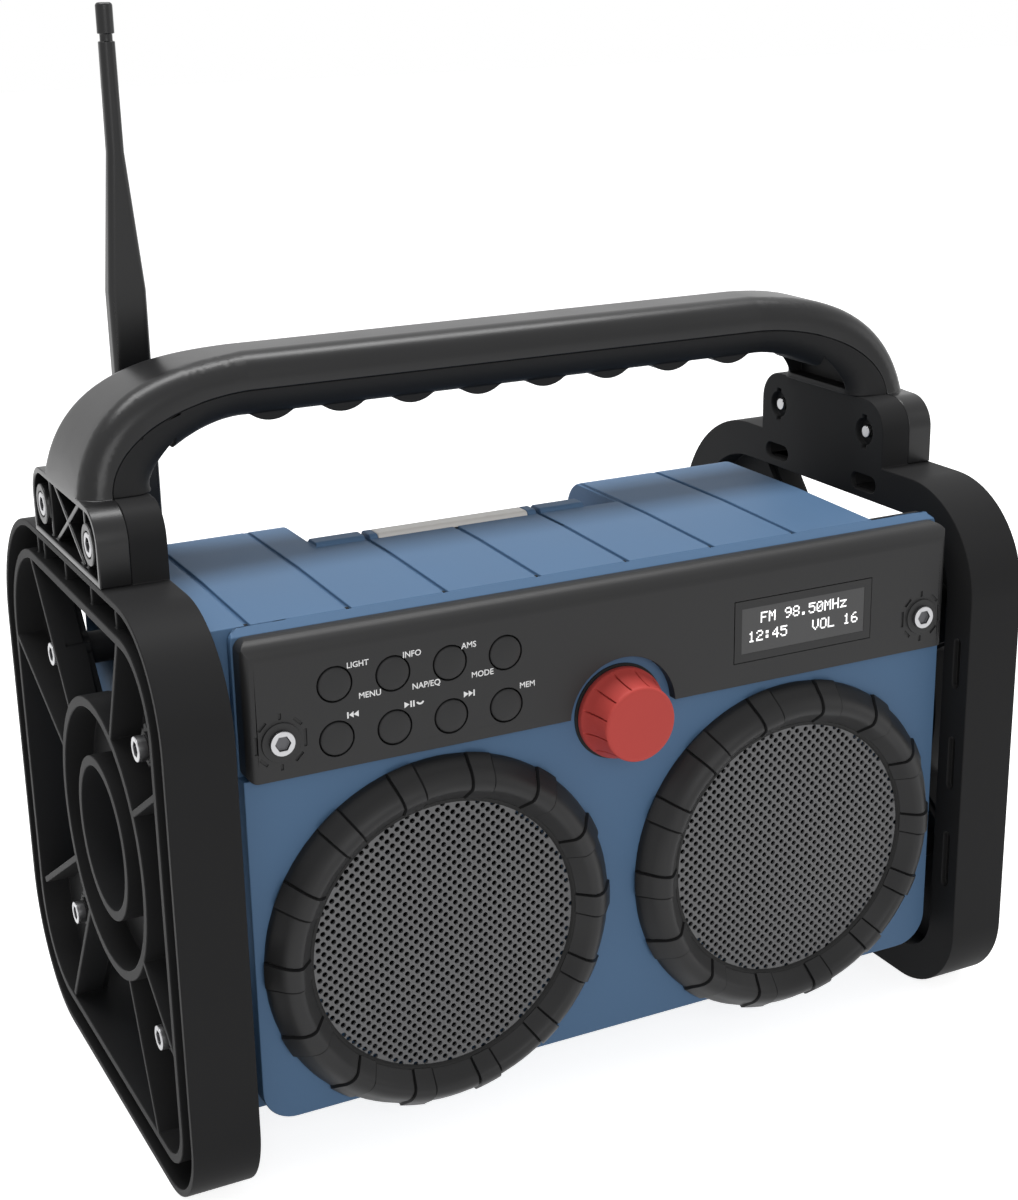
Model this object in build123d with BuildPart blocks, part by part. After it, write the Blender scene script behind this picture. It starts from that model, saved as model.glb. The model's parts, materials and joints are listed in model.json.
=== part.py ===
from build123d import *
import os
from math import cos, radians, sin

# Jobsite radio: a blue two-part housing held between two ribbed side frames under a carrying handle.
# x runs across, y from the front to the rear, z up, in millimetres. The origin is under the middle
# of the radio, on the surface it stands on.

os.makedirs("parts", exist_ok=True)

# ------------------------------------------------------------------ driving sizes
# Side frames
overall_width = 336.6
frame_thickness = 23.6
frame_depth = 203.8
frame_height = 208.5
frame_front_y = -99.8
rear_top_radius = 51.7
rear_bottom_radius = 47.3
front_top_radius = 40.0
front_bottom_radius = 31.0
rim_wall = 2.6
channel_width = 8.8
loop_wall = 3.4
channel_floor = 2.4
rib_wall = 2.4
web_depth = 11.0
web_floor = 2.5
hub_behind_front = 84.05
hub_height = 109.6
hub_radius = 50.9
hub_wall = 3.7
eye_radius = 29.7
eye_wall = 3.7
web_angles = [115.3, 148.8, 215.6, 246.0, 305.2, 329.5, 382.4, 410.0]
frame_screw_spread = 52.5
rosette_radius = 7.8
rosette_notches = 8
rosette_notch_radius = 1.2
washer_thickness = 1.0

# Handle and its feet
foot_front_y = -42.0
foot_length = 83.5
foot_height = 25.5
foot_corner = 12.0
foot_split = 12.8
foot_screw_inset = 12.1
foot_screw_drop = 13.2
foot_wall = 2.2
grip_rise = 41.0
grip_height = 22.4
grip_depth = 32.0
grip_straight_x = 104.0
grip_mid_y = 0.0
leg_depth = 54.0
seam_drop = 12.4
lobe_count = 8
lobe_pitch = 27.0
lobe_width = 15.0
lobe_drop = 2.5

# Housing
fascia_y = -92.0
fascia_stand = 4.0
fascia_half_width = 138.5
fascia_height = 47.5
fascia_corner = 4.0
fascia_end_radius = 3.5
fascia_end_wall = 3.0
front_half_width = 139.2
front_top_corner = 4.7
shell_wall = 3.0
shell_bottom = 25.6
shell_corner = 12.0
strip_front = 9.0
strip_rise = 2.4
shell_split = 15.0
deck_front_height = 201.6
deck_rise = 1.4
deck_level_from = 60.0
upper_rear = 121.0
upper_rear_radius = 14.0
housing_rear = 168.0
ledge_drop = 31.0
deck_right_x = 112.0
step_drop = 17.0
groove_first_x = -131.9
groove_pitch = 34.86
groove_count = 7
groove_width = 1.8
groove_depth = 1.2
recess_left_x = -82.0
recess_right_x = 42.5
recess_front = 78.0
light_bar_right_x = 27.0
light_bar_depth = 9.0
light_bar_rise = 1.4
lens_left_x = -58.0
lens_right_x = 3.0

# Controls
button_first_x = -108.0
button_pitch = 20.5
button_columns = 4
button_row_drops = (18.2, 37.0)
button_radius = 5.95
button_travel = 0.8
button_clearance = 0.25
display_left_x = 47.6
display_width = 53.3
display_drop = 35.7
display_height = 17.0
display_border = 3.2
display_pane = 1.6
knob_x = -0.8
knob_drop = 49.0
knob_base_radius = 16.7
knob_face_radius = 12.9
knob_base = 2.8
knob_face = -12.0
knob_notch_radius = 21.0
knob_grooves = 12
shaft_radius = 3.0
running_clearance = 0.05

# Loudspeakers
speaker_x = 71.1
bezel_low = 16.5
bezel_gap = 3.6
bezel_side_gap = 5.3
bezel_crest_inset = 7.0
bezel_crest = -8.0
grille_inset = 16.9
grille_face = -1.0
bezel_bands = 14
bezel_band_angle = 11.0
bezel_band_rise = 0.9

# Aerial
aerial_x = -129.6
aerial_back = 130.0
aerial_pivot_rise = 10.5
aerial_length = 207.3
aerial_eye_radius = 6.0
aerial_eye_width = 8.0
aerial_fork_gap = 0.4
aerial_pin_radius = 2.5

# Power and sockets
cell_radius = 16.5
cell_length = 60.0
cell_gap = 0.6
cover_width = 150.0
cover_height = 78.0
cover_bottom = 44.0
cover_thickness = 2.5
socket_x = 102.0
socket_z = 118.0
socket_panel_width = 44.0
socket_panel_height = 26.0
flap_thickness = 3.0

# Fasteners: socket-head screws
screw_radius = 2.4
screw_hole_radius = 2.5
head_radius = 4.25
head_height = 3.5
hex_across = 4.6
hex_depth = 2.0
small_screw_radius = 1.5
small_head_radius = 2.8
small_head_height = 2.0
small_screw_gap = 0.2

# ------------------------------------------------------------------ derived places
half_width = overall_width / 2
frame_inner_x = half_width - frame_thickness
frame_rear_y = frame_front_y + frame_depth
frame_mid_y = frame_front_y + frame_depth / 2
hub_y = frame_front_y + hub_behind_front
web_x = half_width - web_depth
boss_reach = web_x - web_floor - frame_inner_x
screw_spots = [
    (hub_y + side_y * frame_screw_spread, hub_height + side_z * frame_screw_spread)
    for side_y in (-1, 1)
    for side_z in (-1, 1)
]
foot_top = frame_height + foot_height
foot_mid_y = foot_front_y + foot_length / 2
foot_mid_z = frame_height + foot_height / 2
foot_split_x = frame_inner_x + foot_split
foot_screw_z = foot_top - foot_screw_drop
foot_screw_ys = (foot_front_y + foot_screw_inset, foot_front_y + foot_length - foot_screw_inset)
grip_top = foot_top + grip_rise
seam_height = grip_top - seam_drop
grip_bottom = grip_top - grip_height
grip_mid_z = (grip_top + grip_bottom) / 2
deck_height = deck_front_height + deck_rise
side_step_height = deck_height - step_drop
recess_floor = side_step_height
ledge_height = deck_height - ledge_drop
light_bar_top = deck_height + light_bar_rise
strip_bottom = deck_front_height - strip_rise
fascia_bottom = strip_bottom - fascia_height
button_xs = [button_first_x + column * button_pitch for column in range(button_columns)]
button_rows = [strip_bottom - drop for drop in button_row_drops]
display_bottom = strip_bottom - display_drop
knob_z = strip_bottom - knob_drop
bezel_outer_radius = min((fascia_bottom - bezel_gap - bezel_low) / 2, speaker_x - bezel_side_gap)
bezel_crest_radius = bezel_outer_radius - bezel_crest_inset
grille_radius = bezel_outer_radius - grille_inset
speaker_z = bezel_low + bezel_outer_radius
aerial_pivot_z = ledge_height + aerial_pivot_rise
aerial_tip_z = aerial_pivot_z + aerial_length


def behind(distance):
    """y of a plane that lies this far behind the front plane of the fascia."""
    return fascia_y + distance


def facing_front(distance):
    """Sketch plane seen from the front, this far behind the fascia's front plane; negative extrudes go back."""
    return Plane(origin=(0, behind(distance), 0), x_dir=(1, 0, 0), z_dir=(0, -1, 0))


def turning_plane(x, z, angle=0):
    """Plane through a front-to-rear axis at x and z: sketch x is the radius, sketch y the depth."""
    outward = (cos(radians(angle)), 0, sin(radians(angle)))
    across = (-sin(radians(angle)), 0, cos(radians(angle)))
    return Plane(origin=(x, fascia_y, z), x_dir=outward, z_dir=across)


def turning_axis(x, z):
    """Axis from the front to the rear at x and z."""
    return Axis((x, fascia_y, z), (0, 1, 0))


def rosette_sketch():
    """Disc with notches round its edge."""
    with BuildSketch() as disc:
        Circle(rosette_radius)
        with PolarLocations(rosette_radius, rosette_notches):
            Circle(rosette_notch_radius, mode=Mode.SUBTRACT)
    return disc.sketch


def finish(part, name):
    """Label a finished piece and write its STEP file."""
    part.label = name
    export_step(part, f"parts/{name}.step")


# ------------------------------------------------------------------ side frames
def frame_loop(inset):
    """Closed outline of a side frame, seen from the side, moved in by inset."""
    corners = [
        (frame_rear_y, frame_height, rear_top_radius),
        (frame_rear_y, 0, rear_bottom_radius),
        (frame_front_y, frame_height, front_top_radius),
        (frame_front_y, 0, front_bottom_radius),
    ]
    with BuildSketch() as loop:
        with Locations((frame_mid_y, frame_height / 2)):
            Rectangle(frame_depth - 2 * inset, frame_height - 2 * inset)
        for corner_y, corner_z, radius in corners:
            corner = loop.vertices().sort_by_distance((corner_y, corner_z, 0))[0]
            fillet(corner, radius - inset)
    return loop.sketch


def foot_outline(inset):
    """Outline of the mounting foot, seen from the side, with rounded upper corners."""
    with BuildSketch() as outline:
        with Locations((foot_mid_y, foot_mid_z)):
            Rectangle(foot_length - 2 * inset, foot_height - 2 * inset)
        fillet(outline.vertices().group_by(Axis.Y)[-1], foot_corner - inset)
    return outline.sketch


def side_plane(x):
    """Sketch plane across x: sketch x runs to the rear, sketch y runs up."""
    return Plane.YZ.offset(x)


outer_loop = rim_wall + channel_width
inner_loop = outer_loop + loop_wall
loop_middle = inner_loop - loop_wall / 2
channel_middle = rim_wall + channel_width / 2
rib_length = frame_depth / 2 - hub_radius + inner_loop
closed_sectors = [(web_angles[i], web_angles[i + 1]) for i in (0, 2, 4, 6)]
hub_center = (hub_y, hub_height)
channel_rib_ys = [-49.0, -20.0, 13.0, 42.0, 51.0]
top_slot_ys = (-30.4, 30.0)
top_slot_length = 16.0
top_slot_z = frame_height - channel_middle - 1.3
slot_width = 6.5
front_slots = [(143.0, 20.0), (102.2, 21.5), (61.5, 23.0)]
front_slot_width = 3.6
standoff_radius = 6.0
tip_pocket_radius = 5.4
tip_notch = (2.6, 13.6)

with BuildPart() as right_frame:
    # Rim, channel and inner loop
    with BuildSketch(side_plane(frame_inner_x)):
        add(frame_loop(0))
        add(frame_loop(inner_loop), mode=Mode.SUBTRACT)
    extrude(amount=frame_thickness)
    with BuildSketch(side_plane(frame_inner_x + channel_floor)):
        add(frame_loop(rim_wall))
        add(frame_loop(outer_loop), mode=Mode.SUBTRACT)
    extrude(amount=frame_thickness, mode=Mode.SUBTRACT)
    # Ribs from the hub ring to the inner loop
    with BuildSketch(side_plane(web_x)):
        for angle in web_angles:
            middle = hub_radius - hub_wall / 2 + rib_length / 2
            place = (hub_y + middle * cos(radians(angle)), hub_height + middle * sin(radians(angle)))
            with Locations(Location(place, angle)):
                Rectangle(rib_length, rib_wall)
        add(frame_loop(loop_middle), mode=Mode.INTERSECT)
        with Locations(hub_center):
            Circle(hub_radius)
            Circle(hub_radius - hub_wall, mode=Mode.SUBTRACT)
            Circle(eye_radius)
            Circle(eye_radius - eye_wall, mode=Mode.SUBTRACT)
    extrude(amount=web_depth)
    # Floors of the hub and of the sectors that carry the screws
    with BuildSketch(side_plane(web_x - web_floor)):
        for start, end in closed_sectors:
            corners = [
                (frame_depth * cos(radians(angle)), frame_depth * sin(radians(angle)))
                for angle in (start, end)
            ]
            with Locations(hub_center):
                Polygon((0, 0), *corners, align=None)
        add(frame_loop(loop_middle), mode=Mode.INTERSECT)
        with Locations(hub_center):
            Circle(hub_radius - hub_wall / 2)
            Circle(eye_radius - eye_wall, mode=Mode.SUBTRACT)
    extrude(amount=web_floor)
    with BuildSketch(side_plane(web_x - web_floor)):
        with Locations(*screw_spots):
            add(rosette_sketch())
    extrude(amount=web_floor + web_depth - head_height - washer_thickness)
    # Stand-offs between the housing and the floors
    with BuildSketch(side_plane(frame_inner_x)):
        with Locations(*screw_spots):
            Circle(standoff_radius)
    extrude(amount=boss_reach + web_floor)
    # Cross ribs in the channel under the handle's foot
    with BuildSketch(side_plane(frame_inner_x)):
        for rib_y in channel_rib_ys:
            with Locations((rib_y, frame_height - channel_middle)):
                Rectangle(rib_wall, channel_width + rim_wall)
    extrude(amount=frame_thickness - channel_floor)
    # Upstand that the handle's foot is screwed to
    with BuildSketch(side_plane(frame_inner_x)):
        add(foot_outline(0))
        with Locations((foot_mid_y, frame_height)):
            Rectangle(foot_length, 2 * rim_wall)
    extrude(amount=foot_split)
    # Screw holes, slots in the channel floor and pockets around the screw tips
    with BuildSketch(side_plane(frame_inner_x)):
        with Locations(*screw_spots):
            Circle(screw_hole_radius)
        with Locations(*[(y, foot_screw_z) for y in foot_screw_ys]):
            Circle(screw_hole_radius)
    extrude(amount=frame_thickness, mode=Mode.SUBTRACT)
    with BuildSketch(side_plane(frame_inner_x)):
        for slot_z, slot_length in front_slots:
            with Locations((frame_front_y + channel_middle, slot_z)):
                SlotOverall(slot_length, front_slot_width, rotation=90)
        with Locations(*[(y, top_slot_z) for y in top_slot_ys]):
            SlotOverall(top_slot_length, slot_width)
        with Locations(*[(y, foot_screw_z) for y in foot_screw_ys]):
            Circle(tip_pocket_radius)
            Rectangle(*tip_notch)
    extrude(amount=channel_floor, mode=Mode.SUBTRACT)
finish(right_frame.part, "right_frame")

with BuildPart() as left_frame:
    mirror(right_frame.part, about=Plane.YZ)
finish(left_frame.part, "left_frame")


# ------------------------------------------------------------------ handle
leg_inner_x = 142.4
leg_thickness = half_width - leg_inner_x
leg_middle_x = (half_width + leg_inner_x) / 2
grip_corner = 9.5
leg_corner = 8.0
leg_stations = 4
arc_width = leg_middle_x - grip_straight_x
arc_rise = grip_mid_z - foot_top
leg_pocket_x = leg_inner_x - 2.0
leg_pocket_z = foot_top + 11.0
leg_pocket_size = (16.0, 17.0)
leg_pocket_width = 38.0
lobe_inset = 6.0
lobe_depth = grip_depth - 2 * lobe_inset
lobe_radius = ((lobe_width / 2) ** 2 + lobe_drop**2) / (2 * lobe_drop)
boss_wall = 3.0
foot_rib_wall = 1.8
foot_rib_tilt = 32
foot_rib_recess = 1.5
head_gap = 0.4


def leg_section(side, turn):
    """Rounded section across the bent leg; turn runs from 0 at the grip to 1 at the foot."""
    angle = radians(90 * turn)
    thickness = grip_height + turn * (leg_thickness - grip_height)
    depth = grip_depth + turn * (leg_depth - grip_depth)
    corner = grip_corner + turn * (leg_corner - grip_corner)
    center_x = side * (grip_straight_x + arc_width * sin(angle))
    center_z = foot_top + arc_rise * cos(angle)
    along = (side * arc_width * cos(angle), 0, -arc_rise * sin(angle))
    plane = Plane(origin=(center_x, grip_mid_y, center_z), x_dir=(0, 1, 0), z_dir=along)
    with BuildSketch(plane) as section:
        RectangleRounded(depth, thickness, corner)
    return section.sketch


with BuildPart() as handle_bar:
    with BuildSketch(side_plane(-grip_straight_x)):
        with Locations((grip_mid_y, grip_mid_z)):
            RectangleRounded(grip_depth, grip_height, grip_corner)
    extrude(amount=2 * grip_straight_x)
    for side in (-1, 1):
        loft([leg_section(side, station / (leg_stations - 1)) for station in range(leg_stations)])

# Everything under the parting line, seen from the front
seam_arc_width = foot_split_x - grip_straight_x
seam_rise = seam_height - foot_top
with BuildPart() as under_seam:
    with BuildSketch(Plane.XZ.offset(-leg_depth)):
        with BuildLine():
            right_arc = EllipticalCenterArc(
                (grip_straight_x, foot_top), seam_arc_width, seam_rise, start_angle=0, arc_size=90
            )
            left_arc = EllipticalCenterArc(
                (-grip_straight_x, foot_top), seam_arc_width, seam_rise, start_angle=90, arc_size=90
            )
            Line(right_arc @ 1, left_arc @ 0)
            Line(left_arc @ 1, right_arc @ 0)
        make_face()
    extrude(amount=2 * leg_depth)

with BuildPart() as handle_upper:
    add(handle_bar.part)
    add(under_seam.part, mode=Mode.SUBTRACT)
    for side in (-1, 1):
        inner_face = side * foot_split_x
        with BuildSketch(side_plane(inner_face)):
            add(foot_outline(0))
        extrude(amount=side * (half_width - foot_split_x))
        # Open outer face with a screw boss at each end and crossed ribs between them
        with BuildSketch(side_plane(inner_face + side * foot_wall)):
            add(foot_outline(foot_wall))
            with Locations(*[(y, foot_screw_z) for y in foot_screw_ys]):
                Circle(head_radius + boss_wall, mode=Mode.SUBTRACT)
        extrude(amount=side * half_width, mode=Mode.SUBTRACT)
        rib_reach = (foot_length / 2 - foot_screw_inset) - head_radius - boss_wall
        with BuildSketch(side_plane(inner_face + side * foot_wall)):
            for tilt in (-foot_rib_tilt, foot_rib_tilt):
                with Locations(Location((foot_mid_y, foot_mid_z), tilt)):
                    Rectangle(2 * rib_reach, foot_rib_wall)
            for shift in (-rib_reach, rib_reach):
                with Locations((foot_mid_y + shift, foot_mid_z)):
                    Rectangle(foot_rib_wall, foot_height)
            add(foot_outline(foot_wall / 2), mode=Mode.INTERSECT)
        extrude(amount=side * (half_width - foot_split_x - foot_wall - foot_rib_recess))
        with BuildSketch(side_plane(inner_face)):
            with Locations(*[(y, foot_screw_z) for y in foot_screw_ys]):
                Circle(screw_hole_radius)
        extrude(amount=side * frame_thickness, mode=Mode.SUBTRACT)
        with BuildSketch(side_plane(side * (half_width - head_height))):
            with Locations(*[(y, foot_screw_z) for y in foot_screw_ys]):
                Circle(head_radius + head_gap)
        extrude(amount=side * frame_thickness, mode=Mode.SUBTRACT)
finish(handle_upper.part, "handle_upper")

with BuildPart() as handle_lower:
    add(handle_bar.part)
    add(under_seam.part, mode=Mode.INTERSECT)
    # Finger lobes under the grip
    with BuildSketch(Plane.XZ.offset(-grip_mid_y - lobe_depth / 2)):
        with GridLocations(lobe_pitch, 0, lobe_count, 1):
            with Locations((0, grip_bottom - lobe_drop + lobe_radius)):
                Circle(lobe_radius)
        with Locations((0, grip_bottom)):
            Rectangle(lobe_count * lobe_pitch, 4 * lobe_drop, mode=Mode.INTERSECT)
    extrude(amount=lobe_depth)
    # The inner side of each leg is hollow
    with BuildSketch(Plane.XZ.offset(-grip_mid_y - leg_pocket_width / 2)):
        for side in (-1, 1):
            with Locations((side * leg_pocket_x, leg_pocket_z)):
                Rectangle(*leg_pocket_size)
    extrude(amount=leg_pocket_width, mode=Mode.SUBTRACT)
finish(handle_lower.part, "handle_lower")


# ------------------------------------------------------------------ housing
speaker_centers = [(-speaker_x, speaker_z), (speaker_x, speaker_z)]
cone_opening_radius = grille_radius - 2.4
panel_front = fascia_stand
panel_back = panel_front + shell_wall
front_top = deck_front_height
fascia_seat_top = strip_bottom - shell_wall
strip_hollow = strip_bottom - shell_wall / 2 - fascia_seat_top
seal_width = 1.4
seal_height = 1.6
key_window = (-77.25, 76.0)
key_window_height = 33.0
display_mid_x = display_left_x + display_width / 2
display_mid_z = display_bottom + display_height / 2
display_module_margin = 3.0
board_post_xs = (-28.0, 34.0)
board_post_zs = (strip_bottom - 59.2, strip_bottom - 11.2)
board_post_radius = 3.0
board_front = 30.0
shell_screw_x = 130.0
shell_screw_low_z = 40.0
shell_screw_high_z = strip_bottom - 52.2
shell_screw_spots = [(side * shell_screw_x, z) for z in (shell_screw_low_z, shell_screw_high_z) for side in (-1, 1)]
shell_screw_spots.append((0.0, 37.0))
post_radius = 4.0
post_split = 40.0
well_radius = 3.4
well_wall = 1.8
screw_boss_length = 14.0
screw_bore_depth = 12.4
shell_screw_bore = 12.0
fascia_screw_x = 127.2
fascia_screw_z = strip_bottom - 34.3


def front_outline(inset):
    """Outline of the front shell, seen from the front, moved in by inset."""
    with BuildSketch() as outline:
        with Locations((0, (shell_bottom + front_top) / 2)):
            Rectangle(2 * (front_half_width - inset), front_top - shell_bottom - 2 * inset)
        fillet(outline.vertices().group_by(Axis.Y)[0], shell_corner - inset)
        fillet(outline.vertices().group_by(Axis.Y)[-1], front_top_corner - inset)
    return outline.sketch


with BuildPart() as front_shell:
    with BuildSketch(side_plane(-front_half_width)):
        with BuildLine():
            Polyline(
                (behind(panel_front), shell_bottom),
                (behind(panel_front), fascia_seat_top),
                (behind(strip_front), fascia_seat_top),
                (behind(strip_front), strip_bottom),
                (behind(shell_split), front_top),
                (behind(shell_split), shell_bottom),
                close=True,
            )
        make_face()
    extrude(amount=2 * front_half_width)
    with BuildSketch(facing_front(0)):
        add(front_outline(0))
    extrude(amount=-2 * shell_split, mode=Mode.INTERSECT)
    # Room for the ends of the control fascia
    with BuildSketch(facing_front(panel_front)):
        for side in (-1, 1):
            with Locations((side * (fascia_half_width - fascia_end_wall / 2), (fascia_bottom + fascia_seat_top) / 2)):
                Rectangle(fascia_end_wall, fascia_seat_top - fascia_bottom)
            with Locations((side * front_half_width, (fascia_bottom + fascia_seat_top) / 2)):
                Rectangle(fascia_end_wall, fascia_seat_top - fascia_bottom)
    extrude(amount=-(strip_front - panel_front), mode=Mode.SUBTRACT)
    # Hollow behind the front panel
    with BuildSketch(facing_front(panel_back)):
        add(front_outline(shell_wall))
        with Locations((0, fascia_seat_top)):
            Rectangle(2 * front_half_width, 2 * shell_wall, mode=Mode.SUBTRACT)
    extrude(amount=-shell_split, mode=Mode.SUBTRACT)
    with BuildSketch(facing_front(strip_front + shell_wall)):
        with Locations((0, fascia_seat_top)):
            Rectangle(2 * (front_half_width - front_top_corner), 2 * strip_hollow)
    extrude(amount=-shell_split, mode=Mode.SUBTRACT)
    # Posts for the main board and for the screws that come from the rear
    with BuildSketch(facing_front(panel_back)):
        for post_x in board_post_xs:
            for post_z in board_post_zs:
                with Locations((post_x, post_z)):
                    Circle(board_post_radius)
    extrude(amount=-(board_front - panel_back))
    with BuildSketch(facing_front(panel_back)):
        with Locations(*shell_screw_spots):
            Circle(post_radius)
    extrude(amount=-(post_split - panel_back))
    with BuildSketch(facing_front(panel_back)):
        for side in (-1, 1):
            with Locations((side * fascia_screw_x, fascia_screw_z)):
                Circle(post_radius)
    extrude(amount=-head_height)
    # Openings for the loudspeakers, keys, display, encoder and screws
    with BuildSketch(facing_front(panel_front)):
        with Locations(*speaker_centers):
            Circle(cone_opening_radius)
        with Locations((key_window[0], (button_rows[0] + button_rows[1]) / 2)):
            RectangleRounded(key_window[1], key_window_height, shell_wall)
        with Locations((display_mid_x, display_mid_z)):
            Rectangle(
                display_width + 2 * display_module_margin, display_height + 2 * display_module_margin
            )
        with Locations((knob_x, knob_z)):
            Circle(1.5 * shaft_radius)
        for side in (-1, 1):
            with Locations((side * fascia_screw_x, fascia_screw_z)):
                Circle(screw_hole_radius)
    extrude(amount=-(shell_wall + head_height), mode=Mode.SUBTRACT)
    with BuildSketch(facing_front(post_split)):
        with Locations(*shell_screw_spots):
            Circle(small_screw_radius)
    extrude(amount=shell_screw_bore, mode=Mode.SUBTRACT)
    # Seat of the seal along the rear rim
    with BuildSketch(facing_front(shell_split)):
        add(front_outline((shell_wall - seal_width) / 2))
        add(front_outline((shell_wall + seal_width) / 2), mode=Mode.SUBTRACT)
    extrude(amount=seal_height / 2, mode=Mode.SUBTRACT)
finish(front_shell.part, "front_shell")

rear_half_width = frame_inner_x
rear_corner = shell_corner
ledge_corner = 5.0
cavity_width = 2 * (rear_half_width - shell_wall)
low_center = (Align.CENTER, Align.MIN)
battery_mid_x = 0.0
fit_gap = 0.25
flap_barrel_radius = 1.7
flap_pin_radius = 0.9
flap_axis_out = 1.8
flap_axis_z = socket_z + socket_panel_height / 2 + flap_barrel_radius
flap_lug_width = 3.0
flap_lug_spread = socket_panel_width - 12
flap_lug_wall = 0.4
socket_ledge = 3.0
cover_mid_z = cover_bottom + cover_height / 2
cover_lip = 4.0
cover_screw_x = 73.0
lens_length = lens_right_x - lens_left_x
lens_mid_x = (lens_left_x + lens_right_x) / 2
bar_corner = 2.2


def deck_profile(drop, front, rear):
    """Area above the deck surface lowered by drop, seen from the side."""
    with BuildSketch() as area:
        with BuildLine():
            Polyline(
                (behind(front), deck_front_height - drop),
                (behind(deck_level_from), deck_height - drop),
                (behind(rear), deck_height - drop),
                (behind(rear), deck_height + shell_corner),
                (behind(front), deck_height + shell_corner),
                close=True,
            )
        make_face()
    return area.sketch


with BuildPart() as rear_shell:
    with BuildSketch(side_plane(-rear_half_width)) as rear_profile:
        with BuildLine():
            Polyline(
                (behind(shell_split), shell_bottom),
                (behind(shell_split), deck_front_height),
                (behind(deck_level_from), deck_height),
                (behind(upper_rear), deck_height),
                (behind(upper_rear), ledge_height),
                (behind(housing_rear), ledge_height),
                (behind(housing_rear), shell_bottom),
                close=True,
            )
        make_face()
        corner_radii = [
            (upper_rear, deck_height, upper_rear_radius),
            (housing_rear, ledge_height, ledge_corner),
            (housing_rear, shell_bottom, rear_corner),
        ]
        for back, height, radius in corner_radii:
            fillet(rear_profile.vertices().sort_by_distance((behind(back), height, 0))[0], radius)
    extrude(amount=2 * rear_half_width)
    # Lower right end of the deck and the recess behind its middle
    with BuildSketch(Plane.XY.offset(side_step_height)):
        step_width = rear_half_width - deck_right_x
        with Locations((deck_right_x + step_width / 2, behind(upper_rear / 2))):
            Rectangle(step_width, 2 * upper_rear)
    extrude(amount=deck_height, mode=Mode.SUBTRACT)
    with BuildSketch(Plane.XY.offset(recess_floor)):
        with Locations((recess_left_x, behind(recess_front))):
            Rectangle(recess_right_x - recess_left_x, upper_rear, align=(Align.MIN, Align.MIN))
    extrude(amount=deck_height, mode=Mode.SUBTRACT)
    # Light bar along the front of the recess, open in the middle for its lens
    with BuildSketch(side_plane(recess_left_x)) as bar_profile:
        with Locations((behind(recess_front), recess_floor)):
            Rectangle(light_bar_depth, light_bar_top - recess_floor, align=(Align.MIN, Align.MIN))
        fillet(bar_profile.vertices().group_by(Axis.Y)[-1], bar_corner)
    extrude(amount=light_bar_right_x - recess_left_x)
    with BuildSketch(Plane.XY.offset(recess_floor)):
        with Locations((lens_mid_x, behind(recess_front + light_bar_depth / 2))):
            Rectangle(lens_length, light_bar_depth)
    extrude(amount=deck_height, mode=Mode.SUBTRACT)
    # Grooves across the deck
    for groove in range(groove_count):
        groove_x = groove_first_x + groove * groove_pitch
        with BuildSketch(side_plane(groove_x - groove_width / 2)):
            add(deck_profile(groove_depth, shell_split, upper_rear))
        extrude(amount=groove_width, mode=Mode.SUBTRACT)
    # Hollow inside: the lower part, then the parts under the ledge step and under the deck
    with BuildSketch(facing_front(shell_split + shell_wall)):
        with Locations((0, shell_bottom + shell_wall)):
            Rectangle(cavity_width, ledge_height - shell_bottom - 2 * shell_wall, align=low_center)
    extrude(amount=-(housing_rear - shell_split - 2 * shell_wall), mode=Mode.SUBTRACT)
    with BuildSketch(facing_front(shell_split + shell_wall)):
        with Locations((0, speaker_z)):
            Rectangle(cavity_width, side_step_height - shell_wall - speaker_z, align=low_center)
    extrude(amount=-(upper_rear - shell_split - 2 * shell_wall), mode=Mode.SUBTRACT)
    with BuildSketch(facing_front(shell_split + shell_wall)):
        with Locations((-rear_half_width + shell_wall, speaker_z)):
            Rectangle(
                rear_half_width + deck_right_x - 2 * shell_wall,
                strip_bottom - groove_depth - shell_wall / 2 - speaker_z,
                align=(Align.MIN, Align.MIN),
            )
    extrude(amount=-(recess_front - shell_split - 2 * shell_wall), mode=Mode.SUBTRACT)
    with BuildSketch(facing_front(shell_split)):
        add(front_outline(shell_wall))
        with Locations((deck_right_x - shell_wall, side_step_height - shell_wall)):
            Rectangle(rear_half_width, deck_height, align=(Align.MIN, Align.MIN), mode=Mode.SUBTRACT)
    extrude(amount=-2 * shell_wall, mode=Mode.SUBTRACT)
    # Screw bosses inside both ends, where the side frames are screwed on
    for side in (-1, 1):
        with BuildSketch(side_plane(side * (rear_half_width - screw_boss_length))):
            with Locations(*screw_spots):
                Circle(standoff_radius)
        extrude(amount=side * screw_boss_length)
        with BuildSketch(side_plane(side * rear_half_width)):
            with Locations(*screw_spots):
                Circle(screw_hole_radius)
        extrude(amount=-side * screw_bore_depth, mode=Mode.SUBTRACT)
    # Wells for the screws that hold the front shell
    with BuildSketch(facing_front(post_split)):
        with Locations(*shell_screw_spots):
            Circle(well_radius + well_wall)
    extrude(amount=-(housing_rear - post_split - shell_wall / 2))
    with BuildSketch(facing_front(post_split + well_wall)):
        with Locations(*shell_screw_spots):
            Circle(well_radius)
    extrude(amount=-housing_rear, mode=Mode.SUBTRACT)
    with BuildSketch(facing_front(post_split)):
        with Locations(*shell_screw_spots):
            Circle(small_screw_radius + small_screw_gap)
    extrude(amount=-2 * well_wall, mode=Mode.SUBTRACT)
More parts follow.
